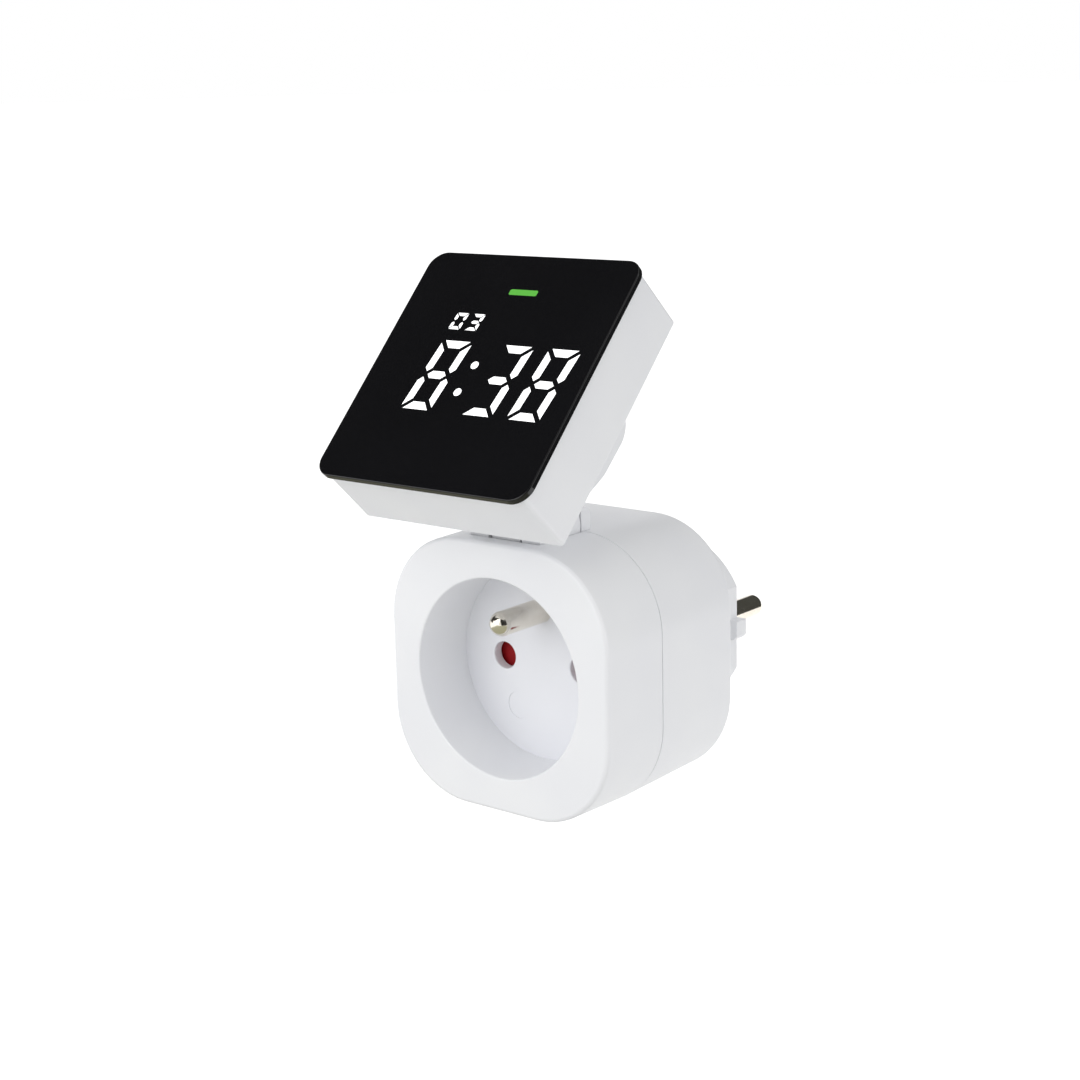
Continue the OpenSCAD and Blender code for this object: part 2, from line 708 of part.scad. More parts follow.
module pin_carrier() {
    inner_w = plug_flat_w - 2 * plug_wall - 0.4;
    color("#55585c") in_case() difference() {
        plug_outline(plug_r - plug_wall - 0.2, inner_w, [carrier_pin_y, face_in]);
        for (sx = [-1, 1]) rod_y(pin_root_r, [carrier_pin_y - over, face_in + over], sx * pole_x);
        rod_y(pin_r + fit + contact_t, [carrier_pin_y - over, tulip_y[1]], 0, earth_z);
        rod_y(earth_hole_r, [carrier_pin_y - over, face_in + over], 0, earth_z);
    }
}

module plug_pin(side) {
    color("#cfcdc6") in_case() translate([side * pole_x, plug_y, 0])
        pin(pin_l, pin_tip_r, plug_y - carrier_pin_y + pin_head_l, pin_r + 0.8, pin_head_l);
}

module plug_pin_left() {
    plug_pin(-1);
}

module plug_pin_right() {
    plug_pin(1);
}

module live_strip() {
    y = carrier_pin_y - pin_head_l;
    color("#b87333") in_case() union() {
        block([-pole_x - strip_w / 2, -pole_x + strip_w / 2], [y - strip_t, y],
              [board_top, pin_r]);
        block([-pole_x - strip_w / 2, -pole_x + strip_w / 2], [board_y[1] - 2, y],
              [board_top, board_top + strip_t]);
    }
}

module neutral_strip() {
    color("#b87333") in_case()
        block([pole_x - strip_w / 2, pole_x + strip_w / 2],
              [contact_end, carrier_pin_y - pin_head_l], [-strip_t / 2, strip_t / 2]);
}

// ---- power electronics ----

module main_board() {
    color("#2f6b3c") in_case()
        block([-board_x, board_x], board_y, [board_top - board_t, board_top]);
}

module relay() {
    color("#22252a") in_case()
        block([2 * can_r + 0.5 - bay, bay - film_w - 0.5], [board_y[0] + 0.6, board_y[0] + 15.8],
              [board_top - board_t - relay_h, board_top - board_t]);
}

module film_capacitor() {
    color("#c9a227") in_case()
        block([bay - film_w, bay], [board_y[0] + 1.5, board_y[0] + 14.5],
              [board_top - board_t - 10, board_top - board_t]);
}

module electrolytic_capacitor() {
    color("#30343a") in_case()
        rod_y(can_r, [board_y[0] + 2, board_y[0] + 14], can_r - bay, board_top - board_t - can_r);
}

module varistor() {
    r = 4.6;
    color("#1f6f9c") in_case()
        rod_x(r, [1.6 - board_x, 4.4 - board_x], board_y[0] + 7, board_top + r);
}

module fuse() {
    color("#d8cfae") in_case()
        rod_y(fuse_r, [board_y[0] + 2, board_y[0] + 13], board_x - 0.7 - fuse_r, board_top + fuse_r);
}

module case_screws() {
    head_y = case_l - 6 + screw_head_t;
    color("silver") in_case() for (sx = [-1, 1], sz = [-1, 1])
        translate([sx * post_x, head_y, sz * post_x]) rotate([180, 0, 0])
            screw(screw_r, head_y - face_t - 2, screw_head_r, screw_head_t);
}

// ---- hinge ----

module hinge_saddle() {
    top = hinge_z + stop_h;
    round_r = 1.8;
    color("#eceef1") in_case() difference() {
        union() {
            // Stop wall with a rounded rear edge, standing out of the case
            across([-neck_x, neck_x]) {
                translate([stop_y, saddle_z]) square([stop_t - round_r, top - saddle_z]);
                translate([stop_y, saddle_z]) square([stop_t, top - round_r - saddle_z]);
                translate([stop_back - round_r, top - round_r]) intersection() {
                    circle(r = round_r);
                    square(round_r);
                }
            }
            block([-flange_x, flange_x], [stop_y, flange_y],
                  [saddle_z, saddle_z + flange_t]);
        }
        for (sx = [-1, 1])
            rod_z(1.1, [saddle_z - over, saddle_z + flange_t + over], sx * saddle_screw[0],
                  saddle_screw[1]);
        saddle_channels();
    }
    color("#eceef1") in_case() difference() {
        union() {
            rod_x(hinge_r - gap, [-tongue_x, tongue_x], hinge_y, hinge_z);
            block([-tongue_x, tongue_x], [hinge_y, stop_y + 0.8],
                  [hinge_z - hinge_r + gap, hinge_z + stop_h - 0.4]);
        }
        rod_x(axle_r, [-tongue_x - over, tongue_x + over], hinge_y, hinge_z);
        saddle_channels();
    }
}

channel_y = stop_y + 1.4;
module saddle_channels() {
    rod_z(harness_r + 0.2, [saddle_z - over, hinge_z + harness_r], 0, channel_y);
    rod_y(harness_r + 0.2, [hinge_y, channel_y], 0, hinge_z);
}

module saddle_screws() {
    color("silver") in_case() for (sx = [-1, 1])
        translate([sx * saddle_screw[0], saddle_screw[1], saddle_z - 1.2]) rotate([90, 0, 0])
            screw(0.9, hinge_z - 3.6 - saddle_z + 1.2, 1.9, 1.2);
}

axle_x = [-neck_x + 1.4, neck_x - 2.6];
module hinge_axle() {
    color("silver") in_case() difference() {
        rod_x(axle_r, axle_x, hinge_y, hinge_z);
        rod_x(axle_bore_r, [axle_x[0] - over, axle_x[1] + over], hinge_y, hinge_z);
        rod_y(harness_r + 0.2, [hinge_y, channel_y], 0, hinge_z);
    }
}

module friction_washers() {
    color("silver") in_case() for (sx = [-1, 1]) difference() {
        rod_x(5, sx > 0 ? [tongue_x, tongue_x + washer_t] : [-tongue_x - washer_t, -tongue_x],
              hinge_y, hinge_z);
        rod_x(axle_r, [-cheek_x, cheek_x], hinge_y, hinge_z);
    }
}

// ---- harness, from the main board through the hollow axle to the display board ----

module harness_lower() {
    z = saddle_z - 2.6;
    route = [[-14, 34.6, board_top], [-14, 34.6, 4], [-13, 34, z - 6], [-8, 31, z - 1],
             [-2.5, 26, z], [0, 21, z], [0, channel_y + 1, z + 0.3], [0, channel_y, z + 2],
             [0, channel_y, z + 4], [0, channel_y, hinge_z - 1.2],
             [0, channel_y - 1.4, hinge_z], [0, hinge_y + 2, hinge_z], [0.4, hinge_y + 0.3, hinge_z],
             [2, hinge_y, hinge_z], [axle_x[1], hinge_y, hinge_z]];
    color("#3a3d42") in_case() sweep(smooth_path(route, 4), harness_r, 8, [1, 1, 1]);
}

upper_x = neck_x - 1.9;             // where the harness climbs inside the right cheek
upper_route = [[axle_x[1] + gap, 0, 0], [upper_x - 0.06, 0, 0.3], [upper_x, 0, 1], [upper_x, 0, 4],
               [upper_x, 0, 9], [upper_x - 0.2, -0.3, 12], [5.2, -2.6, 14.2], [2.6, -7, 14.8],
               [0.6, -11.5, 14.4], [0, -14, 14], [0, -hinge_back - head_back_t - 2.2, 14]];
module harness_upper() {
    color("#3a3d42") at_hinge() sweep(smooth_path(upper_route, 4), harness_r, 8, [1, 1, 1]);
}

// ---- neck: two halves that close round the tongue and the axle ----

// Side outline about the axle; the head's rear face is at y = -hinge_back
module neck_outline() {
    circle(r = hinge_r);
    polygon([[-hinge_back, neck_low], [-0.84 * hinge_r, -0.54 * hinge_r], [0, 0],
             [waist_y - 0.08, 5.9], [waist_y, 6.9], [waist_y + 0.42, 9.5], [-hinge_back, 10]]);
    hull() {
        for (c = [neck_top, neck_swell, neck_waist])
            translate([c[0], c[1]]) circle(r = c[2], $fn = hull_fn * 2);
        translate([-hinge_back, neck_low]) square([skin, neck_high - neck_low]);
    }
}

// The hollow inside the neck, open to the head
module neck_hollow() {
    hull() {
        for (c = [neck_top, neck_swell])
            translate([c[0], c[1]]) circle(r = c[2] - neck_wall, $fn = hull_fn);
        translate([-hinge_back - over, neck_low + 5]) square([skin, neck_high - neck_low - 8]);
    }
}

module neck_half(side) {
    color("#eceef1") at_hinge() mirror([side < 0 ? 1 : 0, 0, 0]) difference() {
        union() {
            difference() {
                across([0, neck_x]) intersection() {
                    neck_outline();
                    translate([-hinge_back, -50]) square([50, 100]);
                }
                across([-over, neck_x - neck_wall]) neck_hollow();
            }
            intersection() {
                across([0, neck_x]) neck_hollow();
                union() {
                    for (p = tie_screw) rod_x(2.1, [0, neck_x], p[0], p[1]);
                    for (z = neck_screw_z)
                        rod_y(2.2, [-hinge_back, -hinge_back + 8], neck_screw_x, z);
                }
            }
        }
        // Room for the tongue between the cheeks, and the axle's bore
        rod_x(pocket_r, [-over, cheek_x], 0, 0);
        rod_x(axle_r + fit, [cheek_x - over, neck_x - 1], 0, 0);
        for (p = tie_screw) {
            rod_x(0.9, [-over, neck_x - 1.6], p[0], p[1]);
            if (side < 0) {
                rod_x(1.2, [-over, neck_x + over], p[0], p[1]);
                rod_x(2.0, [neck_x - 1.8, neck_x + over], p[0], p[1]);
            }
        }
        for (z = neck_screw_z)
            rod_y(0.9, [-hinge_back - over, -hinge_back + 7], neck_screw_x, z);
        if (side > 0) rod_z(harness_r + 0.25, [0, 12.6], upper_x, 0);
    }
}

module neck_left() {
    neck_half(-1);
}

module neck_right() {
    neck_half(1);
}

module neck_tie_screws() {
    color("silver") at_hinge() for (p = tie_screw)
        translate([-neck_x + 0.6, p[0], p[1]]) rotate([0, 0, -90])
            screw(0.9, neck_x * 2 - 2.4, 1.9, 1.2);
}

module neck_head_screws() {
    color("silver") at_hinge() for (sx = [-1, 1], z = neck_screw_z)
        translate([sx * neck_screw_x, -hinge_back - head_back_t - 1.2, z])
            screw(0.9, head_back_t + 1.2 + 6.6, 1.9, 1.2);
}

// ---- display head ----

module head_shell() {
    color("#eef0f3") in_head() difference() {
        plate(head_w, head_h, head_r, [panel_t, head_d]);
        plate(2 * head_x, head_h - 2 * head_wall, head_in_r, [panel_t - over, head_in]);
        for (sx = [-1, 1], sz = [-1, 1]) {
            rod_y(1.2, [head_in - over, head_d + over], sx * corner_screw[0], sz * corner_screw[1]);
            rod_y(2.0, [head_d - 1.2, head_d + over], sx * corner_screw[0], sz * corner_screw[1]);
        }
        for (sx = [-1, 1], z = neck_screw_z)
            rod_y(1.1, [head_in - over, head_d + over], sx * neck_screw_x, z - hinge_drop);
        rod_y(harness_r + 0.6, [head_in - over, head_d + over], 0, upper_route[10][2] - hinge_drop);
        for (k = buttons)
            block([k * button_pitch - button_w / 2 - gap, k * button_pitch + button_w / 2 + gap],
                  [button_y - button_d / 2 - gap, button_y + button_d / 2 + gap],
                  [head_h / 2 - head_wall - over, head_h / 2 + over]);
    }
}

module display_panel() {
    color("#101114") in_head() difference() {
        plate(panel_w, panel_h, panel_r, [0, panel_t]);
        figures([-over, panel_t + over]) {
            time_figures();
            day_figures();
            indicator_figure();
        }
    }
}

module digit_windows() {
    color("white") in_head() figures([0, panel_t]) time_figures();
}

module day_windows() {
    color("white") in_head() figures([0, panel_t]) day_figures();
}

module indicator_window() {
    color("#4cc83a") in_head() figures([0, panel_t]) indicator_figure();
}

frame_w = 2 * head_x - 0.4;
frame_h = head_h - 2 * head_wall - 0.4;
module panel_frame() {
    color("#1b1c1f") in_head() difference() {
        union() {
            plate(frame_w, frame_h, 1.5, [panel_t, mask_y]);
            for (sx = [-1, 1], sz = [-1, 1])
                rod_y(1.9, [panel_t, head_in], sx * corner_screw[0], sz * corner_screw[1]);
        }
        figures([panel_t - over, mask_y + over]) {
            time_figures();
            day_figures();
            indicator_figure();
        }
        for (sx = [-1, 1], sz = [-1, 1])
            rod_y(0.9, [panel_t + 1.5, head_in + over], sx * corner_screw[0], sz * corner_screw[1]);
    }
}

module led_module() {
    side = frame_w / 2 - 0.4;
    color("#e9e9ea") in_head() difference() {
        block([-side, side], [mask_y, display_y],
              [digits_z - digit_h / 2 - 1.6, day_z + day_h / 2 + 1.2]);
        figures([mask_y - over, display_y - 1]) {
            time_figures();
            day_figures();
        }
    }
}

module indicator_led() {
    color("#7fd873") in_head()
        block([bar_x - bar_l / 2, bar_x + bar_l / 2], [mask_y, display_y],
              [bar_z - bar_h / 2, bar_z + bar_h / 2]);
}

module display_board() {
    cut = 5.2;
    w = frame_w / 2 - 0.4;
    h = frame_h / 2 - 0.6;
    color("#2f6b3c") in_head() union() {
        block([-w, w], [display_y, display_back], [-h + cut, h - cut]);
        block([-w + cut, w - cut], [display_y, display_back], [-h, h]);
    }
}

module microcontroller() {
    color("#1c1d20") in_head()
        block([head_x - 15, head_x - 5], [display_back, display_back + 1.4], [-12, -2]);
}

module harness_connector() {
    z = upper_route[10][2] - hinge_drop;
    color("ivory") in_head()
        block([-3.5, 3.5], [display_back, head_in - 2.2], [z - 1.8, z + 1.8]);
}

cell_r = 8;
cell_x = cell_r + 3.5 - head_x;
cell_z = -9;
cell_y = display_back + 0.5;
cell_t = 2.6;
module backup_battery() {
    color("#c8cacc") in_head() rod_y(cell_r, [cell_y, cell_y + cell_t], cell_x, cell_z);
}

module battery_clip() {
    y = cell_y + cell_t;
    x = cell_r + 1.6;
    color("#d8d8d8") in_head() union() {
        block([cell_x - x, cell_x + x], [y, y + 0.4], [cell_z - 2.5, cell_z + 2.5]);
        for (s = [-1, 1])
            block([cell_x + s * (x - 0.4) - 0.4, cell_x + s * (x - 0.4) + 0.4],
                  [display_back, y + 0.4], [cell_z - 2.5, cell_z + 2.5]);
        // Lower contact under the cell
        block([cell_x - x, cell_x + x], [display_back, cell_y], [cell_z - 1.5, cell_z + 1.5]);
    }
}

module tact_switches() {
    top = button_low - button_travel - gap;
    color("#3b3e43") in_head() for (k = buttons) {
        block([k * button_pitch - 2.2, k * button_pitch + 2.2], [display_back, button_y + 1.6],
              [top - 3.4, top - 0.6]);
        rod_z(0.9, [top - 0.6, top], k * button_pitch, button_y);
    }
}

module head_screws() {
    color("silver") in_head() for (sx = [-1, 1], sz = [-1, 1])
        translate([sx * corner_screw[0], head_d - 0.1, sz * corner_screw[1]]) rotate([180, 0, 0])
            screw(0.9, head_d - panel_t - 2.4, 1.8, 1.1);
}

module button(i) {
    x = buttons[i] * button_pitch;
    color("#e4e6ea") in_head() union() {
        block([x - button_w / 2, x + button_w / 2], [button_y - button_d / 2, button_y + button_d / 2],
              [button_low, button_top]);
        block([x - button_w / 2 - flange_out, x + button_w / 2 + flange_out],
              [button_y - button_d / 2 - flange_out, button_y + button_d / 2 + flange_out],
              [button_low, button_low + flange_h]);
    }
}

module clock_button() {
    button(0);
}

module program_button() {
    button(1);
}

module plus_button() {
    button(2);
}

module minus_button() {
    button(3);
}

front_shell();
rear_shell();
socket_floor();
shutter();
shutter_spring();
contact_carrier();
contact_left();
contact_right();
carrier_screws();
socket_earth_pin();
earth_strap();
earth_contact();
earth_bracket();
pin_carrier();
plug_pin_left();
plug_pin_right();
live_strip();
neutral_strip();
main_board();
relay();
film_capacitor();
electrolytic_capacitor();
varistor();
fuse();
case_screws();
hinge_saddle();
saddle_screws();
hinge_axle();
friction_washers();
harness_lower();
harness_upper();
neck_left();
neck_right();
neck_tie_screws();
neck_head_screws();
head_shell();
display_panel();
panel_frame();
digit_windows();
day_windows();
indicator_window();
led_module();
indicator_led();
display_board();
microcontroller();
harness_connector();
backup_battery();
battery_clip();
tact_switches();
head_screws();
clock_button();
program_button();
plus_button();
minus_button();
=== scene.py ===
import json
from math import cos, pi, radians, sin

import bmesh
import bpy
from mathutils import Euler, Matrix, Vector


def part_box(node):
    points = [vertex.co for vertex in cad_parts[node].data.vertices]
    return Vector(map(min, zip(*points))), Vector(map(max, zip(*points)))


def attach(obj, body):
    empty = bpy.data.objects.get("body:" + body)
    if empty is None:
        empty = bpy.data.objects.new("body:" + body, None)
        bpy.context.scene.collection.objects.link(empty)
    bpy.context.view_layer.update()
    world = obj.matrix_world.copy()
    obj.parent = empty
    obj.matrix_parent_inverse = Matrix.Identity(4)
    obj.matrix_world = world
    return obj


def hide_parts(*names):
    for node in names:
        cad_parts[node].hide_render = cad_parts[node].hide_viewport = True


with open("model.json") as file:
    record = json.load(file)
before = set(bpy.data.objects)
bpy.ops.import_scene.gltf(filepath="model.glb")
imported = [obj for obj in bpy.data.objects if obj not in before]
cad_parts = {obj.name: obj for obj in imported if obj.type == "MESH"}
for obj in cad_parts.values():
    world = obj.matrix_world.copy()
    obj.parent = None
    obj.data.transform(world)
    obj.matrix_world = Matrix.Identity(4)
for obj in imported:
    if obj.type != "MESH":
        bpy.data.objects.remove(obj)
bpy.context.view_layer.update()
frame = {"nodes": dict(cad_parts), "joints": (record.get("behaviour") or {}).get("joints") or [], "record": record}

# Pieces are modelled in millimetres and turned to metres when they are put in place.
mm = 0.001
toMetres = Matrix.Scale(mm, 4)
toMillimetres = Matrix.Scale(1 / mm, 4)
axle = Vector(next(joint["pos_m"] for joint in frame["joints"] if joint["name"] == "head_tilt"))
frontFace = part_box("front_shell")[0].y
inCase = Matrix.Translation((0, frontFace, 0)) @ toMetres

headPlace = {"lean": 43.6, "back": 31.2, "rise": 14.2}  # lean in degrees, the rest from the axle
inHead = (Matrix.Translation(axle) @ Matrix.Rotation(-radians(headPlace["lean"]), 4, "X")
          @ toMetres @ Matrix.Translation((0, -headPlace["back"], headPlace["rise"])))

weld = 0.5  # how far a joined block runs into the one it grows from
fit = 0.01  # play of a moulded-in pin in its hole
smoothUpTo = 32  # degrees between faces, past which an edge is drawn sharp
sharpFrom = 35  # degrees between faces, from which an edge is rounded


def partsOf(made, kind):
    return [part for part in made["geom"] if isinstance(part, kind)]


def roundEdges(bm, edges, width, segments, clamp=False):
    # With clamp, the two edges that lie closest together limit the width for all of them
    bmesh.ops.bevel(bm, geom=edges, offset=width, segments=segments, profile=0.5,
                    affect="EDGES", material=-1, clamp_overlap=clamp)


def roundRim(bm, depth, width, segments):
    # Rounds the edge that runs round the block at one depth
    rim = [edge for edge in bm.edges if all(abs(vert.co.y - depth) < 1e-3 for vert in edge.verts)]
    roundEdges(bm, rim, width, segments)


def roundedBlock(sections, radius, segments):
    # Closed block across Y with rounded corners; each section is its depth, width and height
    bm = bmesh.new()
    depth, width, height = sections[0]
    bmesh.ops.create_grid(bm, x_segments=1, y_segments=1, size=0.5,
                          matrix=Matrix.Rotation(radians(90), 4, "X"))
    bmesh.ops.scale(bm, vec=(width, 1, height), verts=bm.verts)
    bmesh.ops.bevel(bm, geom=bm.verts[:], offset=radius, segments=segments, profile=0.5,
                    affect="VERTICES", material=-1)
    bmesh.ops.translate(bm, vec=(0, depth, 0), verts=bm.verts)
    face = bm.faces[:]
    for nextDepth, nextWidth, nextHeight in sections[1:]:
        made = bmesh.ops.extrude_face_region(bm, geom=face)
        verts, face = partsOf(made, bmesh.types.BMVert), partsOf(made, bmesh.types.BMFace)
        bmesh.ops.scale(bm, vec=(nextWidth / width, 1, nextHeight / height), verts=verts)
        bmesh.ops.translate(bm, vec=(0, nextDepth - depth, 0), verts=verts)
        depth, width, height = nextDepth, nextWidth, nextHeight
    bmesh.ops.recalc_face_normals(bm, faces=bm.faces)
    return bm


def turned(profile, place=(0, 0, 0), steps=64):
    # Turned about Y: profile is a list of (depth, radius) that starts and ends on the axis
    bm = bmesh.new()
    verts = [bm.verts.new((radius, depth, 0)) for depth, radius in profile]
    edges = [bm.edges.new(pair) for pair in zip(verts, verts[1:])]
    bmesh.ops.spin(bm, geom=verts + edges, cent=(0, 0, 0), axis=(0, 1, 0), dvec=(0, 0, 0),
                   angle=2 * pi, steps=steps, use_merge=True, use_duplicate=False)
    bmesh.ops.remove_doubles(bm, verts=bm.verts, dist=1e-4)
    bmesh.ops.recalc_face_normals(bm, faces=bm.faces)
    bmesh.ops.translate(bm, vec=place, verts=bm.verts)
    return bm


def bar(radius, depths, place=(0, 0, 0), steps=48):
    front, back = depths
    return turned([(front, 0), (front, radius), (back, radius), (back, 0)], place, steps)


def box(xs, ys, zs, soften=0):
    bm = bmesh.new()
    bmesh.ops.create_cube(bm, size=1)
    bmesh.ops.scale(bm, vec=(xs[1] - xs[0], ys[1] - ys[0], zs[1] - zs[0]), verts=bm.verts)
    bmesh.ops.translate(bm, vec=(sum(xs) / 2, sum(ys) / 2, sum(zs) / 2), verts=bm.verts)
    if soften:
        roundEdges(bm, bm.edges[:], soften, 3)
    return bm


def flaredHole(radius, lip, inside, face, outside, place=(0, 0, 0), steps=64):
    # Cutter for a round hole that opens in a round lip where it comes out at the face
    out = 1 if inside > face else -1
    angles = [radians(angle) for angle in (0, 22.5, 45, 67.5, 90)]
    mouth = [(face + out * lip * (1 - sin(angle)), radius + lip * (1 - cos(angle))) for angle in angles]
    ends = [(outside, radius + lip), (outside, 0)]
    return turned([(inside, 0), (inside, radius)] + mouth + ends, place, steps)


def workObject(name, bm):
    # Hands a bmesh over to a new object
    mesh = bpy.data.meshes.new(name)
    bm.to_mesh(mesh)
    bm.free()
    made = bpy.data.objects.new(name, mesh)
    bpy.context.scene.collection.objects.link(made)
    return made


def combined(bm, others, operation):
    # The block joined with, or cut by, the others, as one closed solid
    base = workObject("work", bm)
    tools = [workObject("tool", other) for other in others]
    for tool in tools:
        shaping = base.modifiers.new("shaping", "BOOLEAN")
        shaping.operation, shaping.solver, shaping.object = operation, "MANIFOLD", tool
    bpy.context.view_layer.update()
    shaped = bmesh.new()
    shaped.from_object(base, bpy.context.evaluated_depsgraph_get())
    for made in [base] + tools:
        bpy.data.meshes.remove(made.data)
    return shaped


def finished(bm, name, place, body, finish, node):
    # Puts a modelled piece in place of its CAD node, smooths it and hands it to its body
    bmesh.ops.transform(bm, matrix=place, verts=bm.verts)
    piece = workObject(name, bm)
    piece.data.shade_smooth()
    piece.data.set_sharp_from_angle(angle=radians(smoothUpTo))
    normals = piece.modifiers.new("normals", "WEIGHTED_NORMAL")
    normals.keep_sharp = True
    piece.data.materials.append(finishes[finish])
    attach(piece, body)
    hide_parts(node)


def mergedCopy(node, toModel):
    # A copy of a CAD node in millimetres, its loose triangles merged to whole faces
    bm = bmesh.new()
    bm.from_mesh(frame["nodes"][node].data)
    bmesh.ops.transform(bm, matrix=toModel, verts=bm.verts)
    bmesh.ops.remove_doubles(bm, verts=bm.verts, dist=2e-3)
    bmesh.ops.dissolve_limit(bm, angle_limit=radians(0.6), verts=bm.verts, edges=bm.edges)
    return bm


def sharpEdges(bm):
    return [edge for edge in bm.edges
            if len(edge.link_faces) == 2 and edge.calc_face_angle() > radians(sharpFrom)]


def linear(code):
    # An sRGB hex colour as linear red, green, blue and alpha
    parts = [int(code[k:k + 2], 16) / 255 for k in (1, 3, 5)]
    return [part / 12.92 if part <= 0.04045 else ((part + 0.055) / 1.055) ** 2.4
            for part in parts] + [1]


def addNode(tree, kind, settings, links):
    node = tree.nodes.new(kind)
    for key, value in settings.items():
        if key in node.inputs:
            node.inputs[key].default_value = value
        else:
            setattr(node, key, value)
    for key, source in links.items():
        tree.links.new(source, node.inputs[key])
    return node


def newFinish(name, colour, roughness, **settings):
    material = bpy.data.materials.new(name)
    material.use_nodes = True
    shader = material.node_tree.nodes["Principled BSDF"]
    values = {"Base Color": linear(colour), "Roughness": roughness, **settings}
    for key, value in values.items():
        shader.inputs[key].default_value = value
    return material, material.node_tree, shader


def places(tree, kind="Object"):
    return addNode(tree, "ShaderNodeTexCoord", {}, {}).outputs[kind]


def speckle(tree, size, detail=3.0):
    # Noise whose spots are size millimetres wide
    return addNode(tree, "ShaderNodeTexNoise", {"Scale": 1 / (size * mm), "Detail": detail},
                   {"Vector": places(tree)}).outputs["Fac"]


def spread(tree, source, low, high):
    return addNode(tree, "ShaderNodeMapRange", {"To Min": low, "To Max": high},
                   {"Value": source}).outputs["Result"]


def relief(tree, shader, source, depth):
    # Bump of so many millimetres
    bump = addNode(tree, "ShaderNodeBump", {"Strength": 1.0, "Distance": depth * mm},
                   {"Height": source})
    tree.links.new(bump.outputs["Normal"], shader.inputs["Normal"])


def tinted(tree, socket, source, colours, stops=(0.35, 0.65)):
    # Goes from the first colour to the second as the source goes from stop to stop
    ramp = addNode(tree, "ShaderNodeValToRGB", {}, {"Fac": source})
    for element, stop, code in zip(ramp.color_ramp.elements, stops, colours):
        element.position, element.color = stop, linear(code)
    tree.links.new(ramp.outputs["Color"], socket)


def moulded(name, colours, roughness, grain, depth, **settings):
    # Injection-moulded plastic: colour that drifts over 18 mm, a spark-eroded grain, and a sheen
    # that is uneven over 3 mm
    material, tree, shader = newFinish(name, colours[0], roughness, **settings)
    tinted(tree, shader.inputs["Base Color"], speckle(tree, 18, 1.0), colours)
    sheen = spread(tree, speckle(tree, 3.0), roughness - 0.05, roughness + 0.05)
    tree.links.new(sheen, shader.inputs["Roughness"])
    relief(tree, shader, speckle(tree, grain), depth)
    return material


def worked(name, colours, roughness, line, axis, depth, **settings):
    # Metal with fine lines across one axis, from drawing, rolling or turning, that are about
    # 17 mm long, and a colour that drifts over 2.2 mm
    material, tree, shader = newFinish(name, colours[0], roughness, Metallic=1.0, **settings)
    tinted(tree, shader.inputs["Base Color"], speckle(tree, 2.2), colours)
    stretch = [60.0, 60.0, 60.0]
    stretch["XYZ".index(axis)] = 1 / (line * mm)
    lines = addNode(tree, "ShaderNodeMapping", {"Scale": stretch}, {"Vector": places(tree)})
    marks = addNode(tree, "ShaderNodeTexNoise", {"Scale": 1.0, "Detail": 2.0},
                    {"Vector": lines.outputs["Vector"]}).outputs["Fac"]
    sheen = spread(tree, marks, roughness - 0.06, roughness + 0.08)
    tree.links.new(sheen, shader.inputs["Roughness"])
    relief(tree, shader, marks, depth)
    return material


def shellPolycarbonate():
    # White polycarbonate, satin from a spark-eroded mould: an even, soft sheen. The real grain is
    # 0.05 mm, too fine to show, so it is drawn at 0.45 mm.
    return moulded("shellPolycarbonate", ("#eff0f2", "#ecedf0"), 0.40, 0.45, 0.004, **{"IOR": 1.58})


def socketPolyamide():
    # White polyamide of the recess floor, more matt than the shells; grain drawn at 0.4 mm
    return moulded("socketPolyamide", ("#f1f2f6", "#eeeff4"), 0.46, 0.4, 0.004, **{"IOR": 1.53})


def carrierPolyamide():
    # Natural glass-filled polyamide: matt, with short fibre marks of about 0.3 mm
    return moulded("carrierPolyamide", ("#d7d8da", "#cfd0d3"), 0.55, 0.3, 0.01)


def shutterPolyamide():
    # Deep red polyamide, moulded matt to slide well; grain of 0.4 mm
    return moulded("shutterPolyamide", ("#9e161c", "#931217"), 0.55, 0.4, 0.006,
                   **{"Specular IOR Level": 0.22})


def springWire():
    # Drawn spring steel: bright, with drawing marks of 0.1 mm
    return worked("springWire", ("#b9babd", "#adaeb2"), 0.28, 0.1, "Z", 0.002)


def contactBrass():
    # Rolled brass strip: warm, lines of 0.12 mm
    return worked("contactBrass", ("#d9b56a", "#cfa95c"), 0.26, 0.12, "X", 0.002)


def screwZinc():
    # Blue-white zinc plating on steel, turned marks of 0.15 mm
    return worked("screwZinc", ("#c3c7cc", "#b4b8be"), 0.30, 0.15, "Y", 0.003)


def pinNickel():
    # Bright nickel on brass: warm grey and mirror-like, with faint turning rings of 0.2 mm
    return worked("pinNickel", ("#ebe6db", "#e4ded2"), 0.13, 0.2, "Y", 0.0004)


def earthTin():
    # Tinned steel strip: duller and greyer, rolled lines of 0.15 mm
    return worked("earthTin", ("#c9cacb", "#bcbdbf"), 0.34, 0.15, "X", 0.003)


def insertPolyamide():
    # Grey polyamide insert that holds the plug pins; grain drawn at 0.4 mm
    return moulded("insertPolyamide", ("#dcdee1", "#d4d6da"), 0.50, 0.4, 0.006)


def stripCopper():
    # Rolled copper strip, slightly dulled; lines of 0.12 mm
    return worked("stripCopper", ("#c98763", "#b97654"), 0.30, 0.12, "Y", 0.002)


